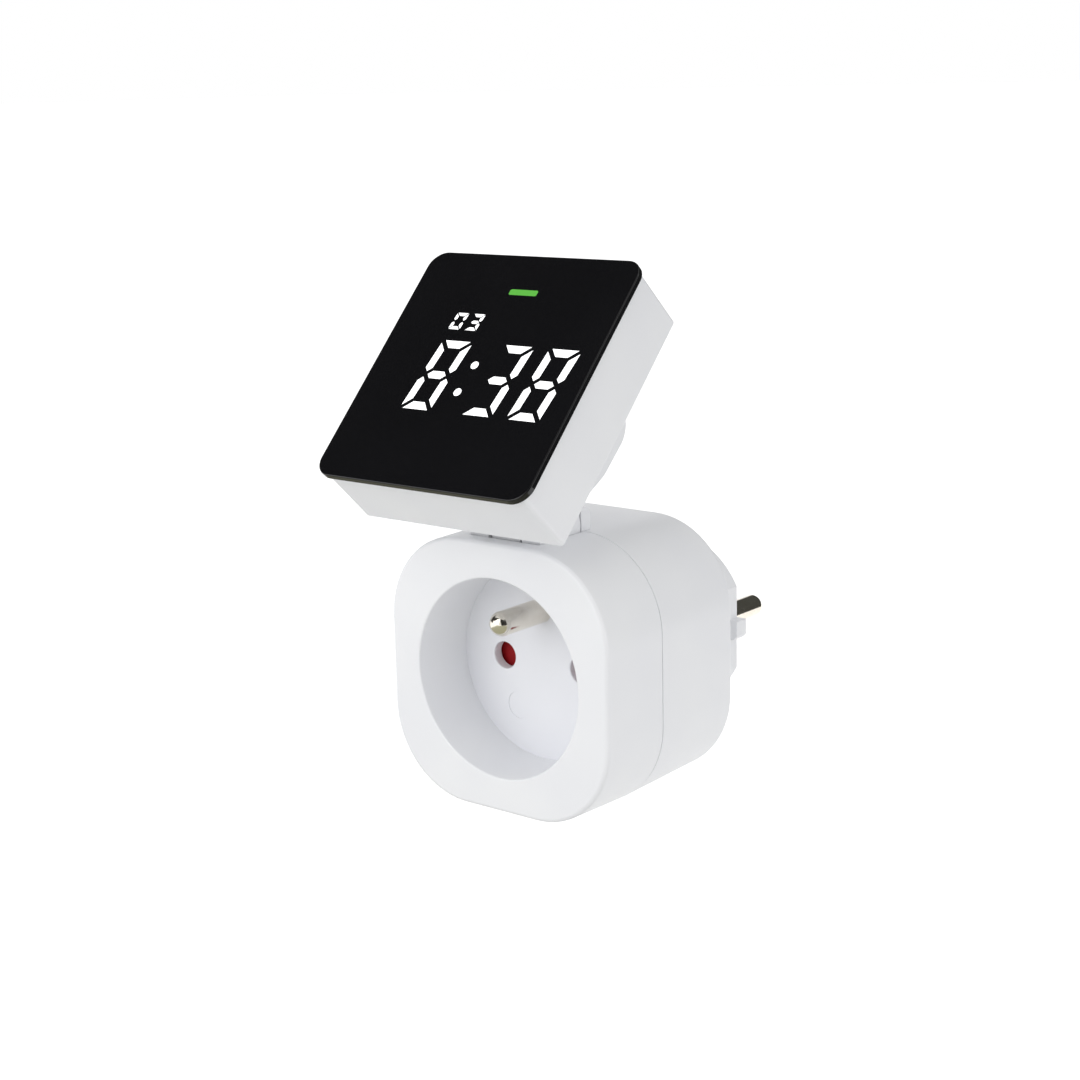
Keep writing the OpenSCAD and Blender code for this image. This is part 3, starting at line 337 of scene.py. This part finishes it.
def boardEpoxy():
    # Glass-epoxy board under green solder resist: paler lines under 1 mm wide stand for tracks
    green = {"resist": "#1f5a33", "shade": "#1c5230", "track": "#2f7a46"}
    material, tree, shader = newFinish("boardEpoxy", green["resist"], 0.35,
                                       **{"Coat Weight": 0.4, "Coat Roughness": 0.15})
    tracks = addNode(tree, "ShaderNodeTexBrick",
                     {"Scale": 1 / (4.8 * mm), "Mortar Size": 0.08, "Color1": linear(green["resist"]),
                      "Color2": linear(green["shade"]), "Mortar": linear(green["track"])},
                     {"Vector": places(tree)})
    tree.links.new(tracks.outputs["Color"], shader.inputs["Base Color"])
    relief(tree, shader, tracks.outputs["Fac"], 0.02)
    return material


def relayCase():
    # Black polyester of relay, chip and switches: matt, grain of 0.3 mm
    return moulded("relayCase", ("#232528", "#1d1f22"), 0.45, 0.3, 0.008)


def filmCase():
    # Yellow flame-retardant polyester box of the film capacitor; grain of 0.35 mm
    return moulded("filmCase", ("#d2a82d", "#c99f28"), 0.42, 0.35, 0.006)


def canSleeve():
    # Bare aluminium can, deep drawn: lines of 0.15 mm
    return worked("canSleeve", ("#b4b7bc", "#a7aab0"), 0.32, 0.15, "Y", 0.002)


def varistorEpoxy():
    # Blue epoxy dip coat: glossy and slightly orange-peeled at 0.8 mm
    return moulded("varistorEpoxy", ("#2370a0", "#1d6594"), 0.20, 0.8, 0.02, **{"Coat Weight": 0.3})


def ceramicCream():
    # Cream ceramic and nylon of the fuse body and the cable's connector: smooth and matt, with
    # a grain of 0.5 mm
    return moulded("ceramicCream", ("#ddd2b4", "#d5c9a8"), 0.40, 0.5, 0.005)


def axleSteel():
    # Turned steel tube, bright, rings of 0.15 mm
    return worked("axleSteel", ("#b5b6ba", "#a8a9ae"), 0.24, 0.15, "X", 0.002)


def cableVinyl():
    # Black PVC cable sheath: soft sheen, grain of 0.3 mm
    return moulded("cableVinyl", ("#26282b", "#1f2124"), 0.50, 0.3, 0.006)


def panelAcrylic():
    # Black acrylic front, polished: deep and mirror-like, with a faint unevenness of 14 mm
    colours = ("#111113", "#131315")
    material, tree, shader = newFinish("panelAcrylic", colours[0], 0.035, **{"IOR": 1.49})
    tinted(tree, shader.inputs["Base Color"], speckle(tree, 25, 1.0), colours)
    relief(tree, shader, speckle(tree, 14, 0.0), 0.002)
    return material


def maskPolystyrene():
    # Matt black polystyrene behind the front; grain of 0.3 mm
    return moulded("maskPolystyrene", ("#17181a", "#121315"), 0.60, 0.3, 0.006)


def litWindow(name, glow, dim, strength):
    # Diffusing acrylic lit from behind: even glow, a hair dimmer in spots of 1.5 mm, glossy skin
    material, tree, shader = newFinish(name, glow, 0.06,
                                       **{"Emission Strength": strength, "IOR": 1.49})
    tinted(tree, shader.inputs["Emission Color"], speckle(tree, 1.5, 1.0), (dim, glow), (0.2, 0.6))
    return material


def whiteWindow():
    # Cold white light of the figures
    return litWindow("whiteWindow", "#ffffff", "#f4f7fc", 0.75)


def greenWindow():
    # Green light of the output indicator
    return litWindow("greenWindow", "#59a843", "#529f3d", 0.36)


def reflectorStyrene():
    # White light-box moulding behind the figures, glossy to throw the light forwards; grain
    # drawn at 0.4 mm
    return moulded("reflectorStyrene", ("#e9eaeb", "#e3e4e6"), 0.30, 0.4, 0.004)


def greenLed():
    # Green tinted epoxy of the indicator lamp: glossy, uneven at 0.6 mm
    return moulded("greenLed", ("#7fd873", "#74cd68"), 0.18, 0.6, 0.004)


def cellSteel():
    # Nickel-plated steel can of the coin cell: brushed lines of 0.12 mm
    return worked("cellSteel", ("#cfd1d3", "#c3c5c8"), 0.25, 0.12, "X", 0.002)


def buttonPolycarbonate():
    # White polycarbonate keys, a touch glossier than the shell from handling; grain at 0.4 mm
    return moulded("buttonPolycarbonate", ("#e9ebee", "#e5e7eb"), 0.33, 0.4, 0.003, **{"IOR": 1.58})


finishes = {
    "shell_white": shellPolycarbonate(), "socket_white": socketPolyamide(),
    "carrier_grey": carrierPolyamide(), "shutter_red": shutterPolyamide(),
    "spring_steel": springWire(), "contact_brass": contactBrass(), "screw_steel": screwZinc(),
    "pin_nickel": pinNickel(), "earth_tinned": earthTin(), "insert_grey": insertPolyamide(),
    "strip_copper": stripCopper(), "board_green": boardEpoxy(), "relay_black": relayCase(),
    "film_yellow": filmCase(), "can_aluminium": canSleeve(), "varistor_blue": varistorEpoxy(),
    "fuse_cream": ceramicCream(), "axle_steel": axleSteel(), "cable_black": cableVinyl(),
    "panel_black": panelAcrylic(), "mask_black": maskPolystyrene(), "window_lit": whiteWindow(),
    "window_green": greenWindow(), "led_white": reflectorStyrene(), "led_green": greenLed(),
    "cell_steel": cellSteel(), "button_white": buttonPolycarbonate(),
}
slots = {entry["node"]: entry["material_slot"] for entry in frame["record"]["subparts"]}
for node, slot in slots.items():
    cadPiece = frame["nodes"][node]
    cadPiece.data.materials.clear()
    cadPiece.data.materials.append(finishes[slot])
print("finishes:", len(finishes))


# Depths run back from the case's front face, heights from the middle of the socket.
case = {
    "faceWidth": 52.8, "seamWidth": 53.4, "rearWidth": 52.4, "flat": 17.4,
    "seam": 16.8, "length": 41.2, "wall": 1.7, "faceThickness": 2.0,
    "frontEdge": 0.9, "rearEdge": 1.6, "seamEdge": 0.3, "joint": 0.08, "cornerSteps": 20,
    "posts": 17.65, "postRadius": 3.5, "thread": 1.2, "screwHole": 1.5,
    "well": 2.6, "wellDepth": 6.0, "wellLip": 0.35,
}
recess = {"radius": 19.5, "depth": 13.9, "wall": 1.4, "lip": 0.35, "steps": 128,
          "play": 0.3, "roomBack": 20.7}  # the room that the rear shell leaves round and behind it
neckSlot = {"half": 8.8, "front": 3.3, "floor": 21.3, "edge": 0.5,
            "rearHalf": 8.6, "rear": 19.0, "rearFloor": 21.4, "rearEdge": 0.4, "top": 40.0}
boardLedge = {"inner": 18.9, "outer": 25.3, "front": 24.4, "bottom": -11.3, "top": -9.7}
floor = {
    "thickness": 2.2, "hole": 2.7, "lip": 0.3, "ear": 22.6, "earRadius": 2.2, "screwHole": 1.5,
    "mark": 2.8, "markDepth": 0.15, "markPlace": (-6, 0, -9.6),
}
corner = (case["faceWidth"] - case["flat"]) / 2
tubeRadius = recess["radius"] + recess["wall"]


def cavity(depths, widths):
    sections = [(depth, width - 2 * case["wall"], width - 2 * case["wall"])
                for depth, width in zip(depths, widths)]
    return roundedBlock(sections, corner - case["wall"], case["cornerSteps"])


def fourPlaces(distance):
    return [(x * distance, 0, z * distance) for x in (-1, 1) for z in (-1, 1)]


def postBars(radius, depths, steps=48):
    return [bar(radius, depths, place, steps) for place in fourPlaces(case["posts"])]


def earBars(radius, depths, steps=48):
    return [bar(radius, depths, (side * floor["ear"], 0, 0), steps) for side in (-1, 1)]


def frontShell():
    face, seam, inside = case["faceWidth"], case["seamWidth"], case["faceThickness"]
    rim = case["seam"] - case["joint"] / 2
    outer = roundedBlock([(0, face, face), (rim, seam, seam)], corner, case["cornerSteps"])
    roundRim(outer, 0, case["frontEdge"], 6)
    roundRim(outer, rim, case["seamEdge"], 2)
    hollow = cavity((inside, case["seam"] + 2), (face, seam))
    shell = combined(outer, [hollow], "DIFFERENCE")
    posts = postBars(case["postRadius"], (inside - weld, case["seam"]))
    ears = earBars(floor["earRadius"], (inside - weld, recess["depth"]))
    tube = bar(tubeRadius, (inside - weld, recess["depth"]), steps=recess["steps"])
    shell = combined(shell, [tube] + posts + ears, "UNION")
    mouth = flaredHole(recess["radius"], recess["lip"], case["seam"] + 2, 0, -2, steps=recess["steps"])
    opening = box((-neckSlot["half"], neckSlot["half"]), (neckSlot["front"], case["seam"] + 4),
                  (neckSlot["floor"], neckSlot["top"]), neckSlot["edge"])
    threads = postBars(case["thread"], (3, case["seam"] + 1), 24)
    shell = combined(shell, [mouth, opening] + threads, "DIFFERENCE")
    finished(shell, "frontShell", inCase, "case", "shell_white", "front_shell")


plug = {
    "radius": 18.5, "flatWidth": 32.8, "length": 16.4, "wall": 1.8, "face": 2.0, "edge": 0.7,
    "lugWidth": 4.0, "lugHeight": 2.0, "lugLength": 3.5, "lugChamfer": 0.8, "lugEdge": 0.15,
    "clipWidth": 5.6, "clip": 0.6, "clipPlay": 0.2, "clipFront": 45.0, "clipSlot": 1.0, "clipEnd": 1.2,
    "pole": 9.5, "earthHeight": 10.5, "earthHole": 2.9, "earthLip": 0.4,
}
pin = {
    "radius": 2.4, "root": 2.1, "length": 17.0, "tip": 1.6,
    "plugRoot": 11.0, "plugHead": 3.2, "headDepth": 1.6,
    "earthLength": 14.0, "earthTip": 2.2, "earthRoot": 3.4, "earthHead": 3.6, "earthHeadDepth": 1.2,
    "stem": 1.8, "stemLength": 7.9,
}
plugEnd = case["length"] + plug["length"]


def plugBody(radius, width, depths, edge=0):
    # A round bar with two flats
    bm = bar(radius, depths, steps=128)
    for side in (-1, 1):
        bmesh.ops.bisect_plane(bm, geom=bm.verts[:] + bm.edges[:] + bm.faces[:], dist=1e-5,
                               plane_co=(side * width / 2, 0, 0), plane_no=(side, 0, 0),
                               clear_outer=True)
        openEdges = [edge for edge in bm.edges if len(edge.link_faces) == 1]
        bmesh.ops.contextual_create(bm, geom=openEdges)
    bmesh.ops.dissolve_limit(bm, angle_limit=radians(0.5), verts=bm.verts, edges=bm.edges)
    bmesh.ops.recalc_face_normals(bm, faces=bm.faces)
    if edge:
        roundRim(bm, depths[1], edge, 5)
    return bm


def lug(side):
    # Guide lug on a flat of the plug, with its lower outer corner chamfered
    half, out = plug["flatWidth"] / 2, plug["flatWidth"] / 2 + plug["lugHeight"]
    bm = box(sorted((side * (half - 1), side * out)), (plugEnd - plug["lugLength"], plugEnd),
             (-plug["lugWidth"] / 2, plug["lugWidth"] / 2))
    low = [edge for edge in bm.edges
           if all(abs(vert.co.x - side * out) < 1e-4 and vert.co.z < 0 for vert in edge.verts)]
    roundEdges(bm, low, plug["lugChamfer"], 1)
    roundEdges(bm, bm.edges[:], plug["lugEdge"], 2)
    return bm


def clipGrooves():
    # Above and below, a groove along the plug for the earth clip and the slot it comes through
    half = plug["clipWidth"] / 2 + plug["clipPlay"]
    start, end = plug["clipFront"], plugEnd - plug["clipEnd"]
    grooves = []
    for up in (-1, 1):
        outside = sorted((up * (plug["radius"] - plug["clip"] - 0.3), up * (plug["radius"] + 1)))
        through = sorted((up * (plug["radius"] - 3), up * (plug["radius"] + 1)))
        grooves += [box((-half, half), (start, end), outside),
                    box((-half, half), (start, start + plug["clipSlot"]), through)]
    return grooves


def rearShell():
    seam, rear, deep = case["seamWidth"], case["rearWidth"], case["length"]
    rim = case["seam"] + case["joint"] / 2
    outer = roundedBlock([(rim, seam, seam), (deep, rear, rear)], corner + 0.3, case["cornerSteps"])
    roundRim(outer, rim, case["seamEdge"], 2)
    roundRim(outer, deep, case["rearEdge"], 7)
    hollow = cavity((case["seam"] - 2, deep - case["faceThickness"]), (seam, rear))
    shell = combined(outer, [hollow], "DIFFERENCE")
    posts = postBars(case["postRadius"], (case["seam"], deep - weld))
    ledges = [box(sorted((side * boardLedge["inner"], side * boardLedge["outer"])),
                  (boardLedge["front"], deep - 1), (boardLedge["bottom"], boardLedge["top"]))
              for side in (-1, 1)]
    body = plugBody(plug["radius"], plug["flatWidth"], (deep - 1, plugEnd), plug["edge"])
    shell = combined(shell, [body, lug(-1), lug(1)] + posts + ledges, "UNION")
    inner = plugBody(plug["radius"] - plug["wall"], plug["flatWidth"] - 2 * plug["wall"],
                     (deep - 3, plugEnd - plug["face"]))
    room = bar(tubeRadius + recess["play"], (case["seam"] - 2, recess["roomBack"]), steps=96)
    notch = box((-neckSlot["rearHalf"], neckSlot["rearHalf"]), (case["seam"] - 4, neckSlot["rear"]),
                (neckSlot["rearFloor"], neckSlot["top"]), neckSlot["rearEdge"])
    earthHole = flaredHole(plug["earthHole"], plug["earthLip"], plugEnd - 5, plugEnd, plugEnd + 2,
                           (0, 0, plug["earthHeight"]), 48)
    pinHoles = [bar(pin["root"] + fit, (plugEnd - 5, plugEnd + 2), (side * plug["pole"], 0, 0))
                for side in (-1, 1)]
    wells = []
    for place in fourPlaces(case["posts"]):
        wells += [flaredHole(case["well"], case["wellLip"], deep - case["wellDepth"], deep, deep + 2,
                             place, 40),
                  bar(case["screwHole"], (case["seam"] - 1, deep - 5), place, 24)]
    cutters = [inner, room, notch, earthHole] + pinHoles + clipGrooves() + wells
    shell = combined(shell, cutters, "DIFFERENCE")
    finished(shell, "rearShell", inCase, "case", "shell_white", "rear_shell")


def socketFloor():
    front, back = recess["depth"], recess["depth"] + floor["thickness"]
    disc = bar(tubeRadius, (front, back), steps=recess["steps"])
    ears = earBars(floor["earRadius"], (front, back))
    arm = box((-floor["ear"], floor["ear"]), (front, back), (-floor["earRadius"], floor["earRadius"]))
    plate = combined(disc, ears + [arm], "UNION")
    holes = [flaredHole(floor["hole"], floor["lip"], back + 1, front, front - 1,
                        (side * plug["pole"], 0, 0)) for side in (-1, 1)]
    stem = bar(pin["root"] + fit, (front - 1, back + 1), (0, 0, plug["earthHeight"]))
    mark = bar(floor["mark"], (front - 1, front + floor["markDepth"]), floor["markPlace"], 64)
    screws = earBars(floor["screwHole"], (front - 1, back + 1), 24)
    plate = combined(plate, holes + [stem, mark] + screws, "DIFFERENCE")
    finished(plate, "socketFloor", inCase, "case", "socket_white", "socket_floor")


def tipPoints(length, tip, steps=12):
    # Round end of a pin, from its side to its axis
    middle = pin["radius"] - tip
    angles = [radians(90 * k / steps) for k in range(steps + 1)]
    arc = [(length - tip + tip * sin(angle), middle + tip * cos(angle)) for angle in angles]
    return arc + [(length, 0)]


def plugPin(side, name, node):
    # Depths run from the plug's end face: the pin's head sits inside the plug
    back = -pin["plugRoot"]
    shoulder = pin["headDepth"] + back
    root = [(back, 0), (back, pin["plugHead"]), (shoulder, pin["plugHead"]), (shoulder, pin["root"]),
            (0, pin["root"]), (0, pin["radius"])]
    bm = turned(root + tipPoints(pin["length"], pin["tip"]), (side * plug["pole"], plugEnd, 0), 72)
    finished(bm, name, inCase, "case", "pin_nickel", node)


def earthPin():
    # Modelled as a plug pin is, then turned to point out of the recess
    back, collar = -pin["stemLength"], -pin["earthRoot"]
    shoulder = pin["earthHeadDepth"] + collar
    root = [(back, 0), (back, pin["stem"]), (collar, pin["stem"]), (collar, pin["earthHead"]),
            (shoulder, pin["earthHead"]), (shoulder, pin["root"]), (0, pin["root"]), (0, pin["radius"])]
    bm = turned(root + tipPoints(pin["earthLength"], pin["earthTip"]), steps=72)
    bmesh.ops.rotate(bm, matrix=Matrix.Rotation(pi, 3, "Z"), verts=bm.verts)
    bmesh.ops.translate(bm, vec=(0, recess["depth"], plug["earthHeight"]), verts=bm.verts)
    finished(bm, "earthPin", inCase, "case", "pin_nickel", "socket_earth_pin")


frontShell()
rearShell()
socketFloor()
plugPin(-1, "plugPinLeft", "plug_pin_left")
plugPin(1, "plugPinRight", "plug_pin_right")
earthPin()
print("case and plug modelled")


# Depths run back from the display's face, heights from the middle of the head.
head = {
    "width": 47.8, "height": 49.8, "corner": 0.9, "innerCorner": 0.6, "wall": 1.6, "back": 1.8,
    "depth": 16.2, "rearEdge": 0.5,
    "cornerScrew": 3.9, "screwHole": 1.2, "seat": 2.0, "seatDepth": 1.2, "seatLip": 0.2,
    "neckScrewX": 5.0, "neckScrewZ": (-14.2, 10.8), "neckScrewHole": 1.1,
    "cableHole": 1.2, "cableZ": -0.2,
    "buttonDepth": 11.2, "buttonWidth": 5.2, "buttonThickness": 3.0, "buttonPitch": 9.0,
    "clearance": 0.3, "buttonCorner": 0.5,
}
glass = {"width": 50.2, "height": 52.2, "corner": 3.7, "thickness": 1.3, "edge": 0.3, "rearEdge": 0.1}


def backHole(radius, x, z):
    return bar(radius, (head["depth"] - 4, head["depth"] + 1), (x, 0, z), 24)


def screwSeat(place):
    # Counterbore with a chamfered mouth
    deep, seat, lip = head["depth"], head["seat"], head["seatLip"]
    return turned([(deep - head["seatDepth"], 0), (deep - head["seatDepth"], seat), (deep - lip, seat),
                   (deep, seat + lip), (deep + 1, seat + lip), (deep + 1, 0)], place, 36)


def headShell():
    width, height, deep = head["width"], head["height"], head["depth"]
    outer = roundedBlock([(glass["thickness"], width, height), (deep, width, height)],
                         head["corner"], 6)
    roundRim(outer, deep, head["rearEdge"], 4)
    inside = (width - 2 * head["wall"], height - 2 * head["wall"])
    hollow = roundedBlock([(0, *inside), (deep - head["back"], *inside)], head["innerCorner"], 4)
    holes = []
    for x in (-1, 1):
        for z in (-1, 1):
            place = (x * (width / 2 - head["cornerScrew"]), 0, z * (height / 2 - head["cornerScrew"]))
            holes += [backHole(head["screwHole"], place[0], place[2]), screwSeat(place)]
        holes += [backHole(head["neckScrewHole"], x * head["neckScrewX"], z)
                  for z in head["neckScrewZ"]]
    holes.append(backHole(head["cableHole"], 0, head["cableZ"]))
    halfX = head["buttonWidth"] / 2 + head["clearance"]
    halfY = head["buttonThickness"] / 2 + head["clearance"]
    for k in (-1.5, -0.5, 0.5, 1.5):
        x = k * head["buttonPitch"]
        holes.append(box((x - halfX, x + halfX),
                         (head["buttonDepth"] - halfY, head["buttonDepth"] + halfY),
                         (height / 2 - head["wall"] - 1, height / 2 + 1), head["buttonCorner"]))
    shell = combined(outer, [hollow] + holes, "DIFFERENCE")
    finished(shell, "headShell", inHead, "head", "shell_white", "head_shell")


def windowCutters():
    # The windows' own outlines, three times as thick so that they cut right through
    middle = glass["thickness"] / 2
    cutters = []
    for node in ("digit_windows", "day_windows", "indicator_window"):
        bm = mergedCopy(node, inHead.inverted())
        bmesh.ops.translate(bm, vec=(0, -middle, 0), verts=bm.verts)
        bmesh.ops.scale(bm, vec=(1, 3, 1), verts=bm.verts)
        bmesh.ops.translate(bm, vec=(0, middle, 0), verts=bm.verts)
        cutters.append(bm)
    return cutters


def displayPanel():
    width, height, thickness = glass["width"], glass["height"], glass["thickness"]
    slab = roundedBlock([(0, width, height), (thickness, width, height)], glass["corner"], 12)
    roundRim(slab, 0, glass["edge"], 3)
    roundRim(slab, thickness, glass["rearEdge"], 1)
    slab = combined(slab, windowCutters(), "DIFFERENCE")
    finished(slab, "displayPanel", inHead, "head", "panel_black", "display_panel")


headShell()
displayPanel()
print("head modelled")


# For each moulded or pressed piece its name here, the most that its edges are rounded by, in
# millimetres, and the steps. Edges that lie close together hold the rounding back: the tact
# switches get 0.04 mm, the head screws, the contact carrier and the hinge saddle under 0.03 mm,
# and the light box and the panel's frame none.
softened = {
    "hinge_saddle": ("hingeSaddle", 0.25, 3), "shutter": ("shutterSlide", 0.15, 2),
    "case_screws": ("caseScrews", 0.12, 2), "head_screws": ("headScrews", 0.1, 2),
    "neck_tie_screws": ("neckTieScrews", 0.1, 2), "earth_bracket": ("earthBracket", 0.12, 2),
    "clock_button": ("clockButton", 0.35, 3), "program_button": ("programButton", 0.35, 3),
    "plus_button": ("plusButton", 0.35, 3), "minus_button": ("minusButton", 0.35, 3),
    "relay": ("relayBox", 0.4, 3), "film_capacitor": ("filmCapacitor", 0.35, 3),
    "electrolytic_capacitor": ("electrolyticCapacitor", 0.3, 3), "varistor": ("varistorDisc", 0.9, 4),
    "fuse": ("fuseBody", 0.3, 3), "pin_carrier": ("pinCarrier", 0.15, 2),
    "contact_carrier": ("contactCarrier", 0.12, 2), "backup_battery": ("backupBattery", 0.3, 3),
    "microcontroller": ("controllerChip", 0.12, 2), "harness_connector": ("harnessConnector", 0.2, 2),
    "led_module": ("ledModule", 0.15, 2), "tact_switches": ("tactSwitches", 0.12, 2),
    "panel_frame": ("panelFrame", 0.1, 1),
}
riders = {node: body for body, members in frame["record"]["behaviour"]["bodies"].items()
          for node in members}


def softCopy(node, name, width, segments):
    bm = mergedCopy(node, toMillimetres)
    roundEdges(bm, sharpEdges(bm), width, segments, clamp=True)
    finished(bm, name, toMetres, riders[node], slots[node], node)


neck = {"half": 8.5, "edge": 0.35, "joint": 0.08}


def neckHalf(node, name):
    # Outer edges and joint are rounded as far as they can be, which is under 0.02 mm, because
    # short edges in the outline hold the rounding back
    bm = mergedCopy(node, toMillimetres)
    outside = [edge for edge in sharpEdges(bm)
               if all(abs(abs(vert.co.x) - neck["half"]) < 1e-2 for vert in edge.verts)]
    roundEdges(bm, outside, neck["edge"], 4, clamp=True)
    joint = [edge for edge in sharpEdges(bm) if all(abs(vert.co.x) < 1e-2 for vert in edge.verts)]
    roundEdges(bm, joint, neck["joint"], 1, clamp=True)
    finished(bm, name, toMetres, "head", "shell_white", node)


for node, (name, width, segments) in softened.items():
    softCopy(node, name, width, segments)
neckHalf("neck_left", "neckLeft")
neckHalf("neck_right", "neckRight")
print("softened pieces:", len(softened) + 2)


# Studio places and sizes are in metres, angles in degrees.
view = {"azimuth": 39.249, "elevation": 12.739, "roll": -1.307,
        "place": (0.24045, -0.33785, 0.1103), "lens": 67.87, "sensor": 36}
studio = {"floor": -0.11, "size": 60.0, "floorColour": "#eaeaea", "floorGlow": 0.6,
          "ambient": 0.715, "rise": 0.03, "aim": (0, -0.04, 0.02)}
lamps = {
    "keySoftbox": {"place": (-0.45, -1.18, 0.62), "size": 1.3, "power": 6.6},
    "sideFill": {"place": (1.35, -0.30, 0.25), "size": 1.0, "power": 3.0},
}
cards = {
    "overheadCard": {"place": (-0.45, -0.2, 0.7), "size": 1.3},
    "rearCard": {"place": (0.15, 1.01, 0.58), "size": 1.7, "colour": "#41423e"},
    "rightFlag": {"place": (0.80, -0.50, 0.36), "size": 1.4},
    "leftCard": {"place": (-1.0, -0.42, 0.36), "size": 0.7},
    "edgeCard": {"place": (0.36, 0.48, 0.05), "size": 0.42, "colour": "#41423e"},
    "lowCard": {"place": (0.25, -0.50, -0.105), "size": 1.0, "colour": "#b9b8a0",
                "aim": (0.25, -0.50, 1.0)},
}


def camera():
    turn = Euler((radians(90 - view["elevation"]), 0, radians(view["azimuth"]))).to_matrix()
    turn = turn @ Matrix.Rotation(radians(view["roll"]), 3, "Z")
    data = bpy.data.cameras.new("camera")
    data.lens, data.sensor_width = view["lens"], view["sensor"]
    made = bpy.data.objects.new("camera", data)
    made.matrix_world = Matrix.Translation(view["place"]) @ turn.to_4x4()
    bpy.context.scene.collection.objects.link(made)
    bpy.context.scene.camera = made


def pointAt(thing, place, target):
    turn = (Vector(target) - Vector(place)).to_track_quat("-Z", "Y").to_matrix().to_4x4()
    thing.matrix_world = Matrix.Translation(place) @ turn


def softbox(name, lamp):
    data = bpy.data.lights.new(name, "AREA")
    data.shape, data.size, data.energy = "SQUARE", lamp["size"], lamp["power"]
    made = bpy.data.objects.new(name, data)
    bpy.context.scene.collection.objects.link(made)
    pointAt(made, lamp["place"], studio["aim"])


def seenWhite(tree, lit, shown):
    # Camera, mirrors and glass see the second shader, everything else the first
    path = addNode(tree, "ShaderNodeLightPath", {}, {})
    rays = addNode(tree, "ShaderNodeMath", {"operation": "ADD"},
                   {0: path.outputs["Is Camera Ray"], 1: path.outputs["Is Glossy Ray"]})
    rays = addNode(tree, "ShaderNodeMath", {"operation": "ADD", "use_clamp": True},
                   {0: rays.outputs[0], 1: path.outputs["Is Transmission Ray"]})
    return addNode(tree, "ShaderNodeMixShader", {}, {0: rays.outputs[0], 1: lit, 2: shown})


def background():
    # White where it is seen; as light it is even, and a little brighter from above
    world = bpy.data.worlds.new("studio")
    bpy.context.scene.world = world
    world.use_nodes = True
    tree = world.node_tree
    light = tree.nodes["Background"]
    light.inputs["Color"].default_value = linear("#ffffff")
    split = addNode(tree, "ShaderNodeSeparateXYZ", {}, {"Vector": places(tree, "Generated")})
    level = addNode(tree, "ShaderNodeMapRange",
                    {"From Min": -1.0, "To Min": studio["ambient"] - studio["rise"],
                     "To Max": studio["ambient"] + studio["rise"]},
                    {"Value": split.outputs["Z"]})
    tree.links.new(level.outputs["Result"], light.inputs["Strength"])
    white = addNode(tree, "ShaderNodeBackground", {"Color": (1, 1, 1, 1), "Strength": 1.0}, {})
    mixed = seenWhite(tree, light.outputs[0], white.outputs[0])
    tree.links.new(mixed.outputs[0], tree.nodes["World Output"].inputs["Surface"])


def stagePlate(name, size, code):
    bm = bmesh.new()
    bmesh.ops.create_grid(bm, x_segments=1, y_segments=1, size=size / 2)
    made = workObject(name, bm)
    material, tree, shader = newFinish(name, code, 0.9)
    made.data.materials.append(material)
    return made, tree, shader


def paleFloor():
    made, tree, shader = stagePlate("paleFloor", studio["size"], studio["floorColour"])
    made.matrix_world = Matrix.Translation((0, 0, studio["floor"]))
    glow = addNode(tree, "ShaderNodeEmission",
                   {"Color": (1, 1, 1, 1), "Strength": studio["floorGlow"]}, {})
    lifted = addNode(tree, "ShaderNodeAddShader", {}, {0: shader.outputs[0], 1: glow.outputs[0]})
    mixed = seenWhite(tree, shader.outputs[0], lifted.outputs[0])
    tree.links.new(mixed.outputs[0], tree.nodes["Material Output"].inputs["Surface"])


def studioCard(name, card):
    # A studio card, near black unless it has a colour: it only shows in polished surfaces
    made = stagePlate(name, card["size"], card.get("colour", "#1d1d1c"))[0]
    pointAt(made, card["place"], card.get("aim", studio["aim"]))
    made.visible_camera = made.visible_diffuse = made.visible_shadow = False


camera()
background()
paleFloor()
for name, lamp in lamps.items():
    softbox(name, lamp)
for name, card in cards.items():
    studioCard(name, card)
bpy.context.scene.view_settings.view_transform = "Standard"
print("studio set")

bpy.context.view_layer.update()
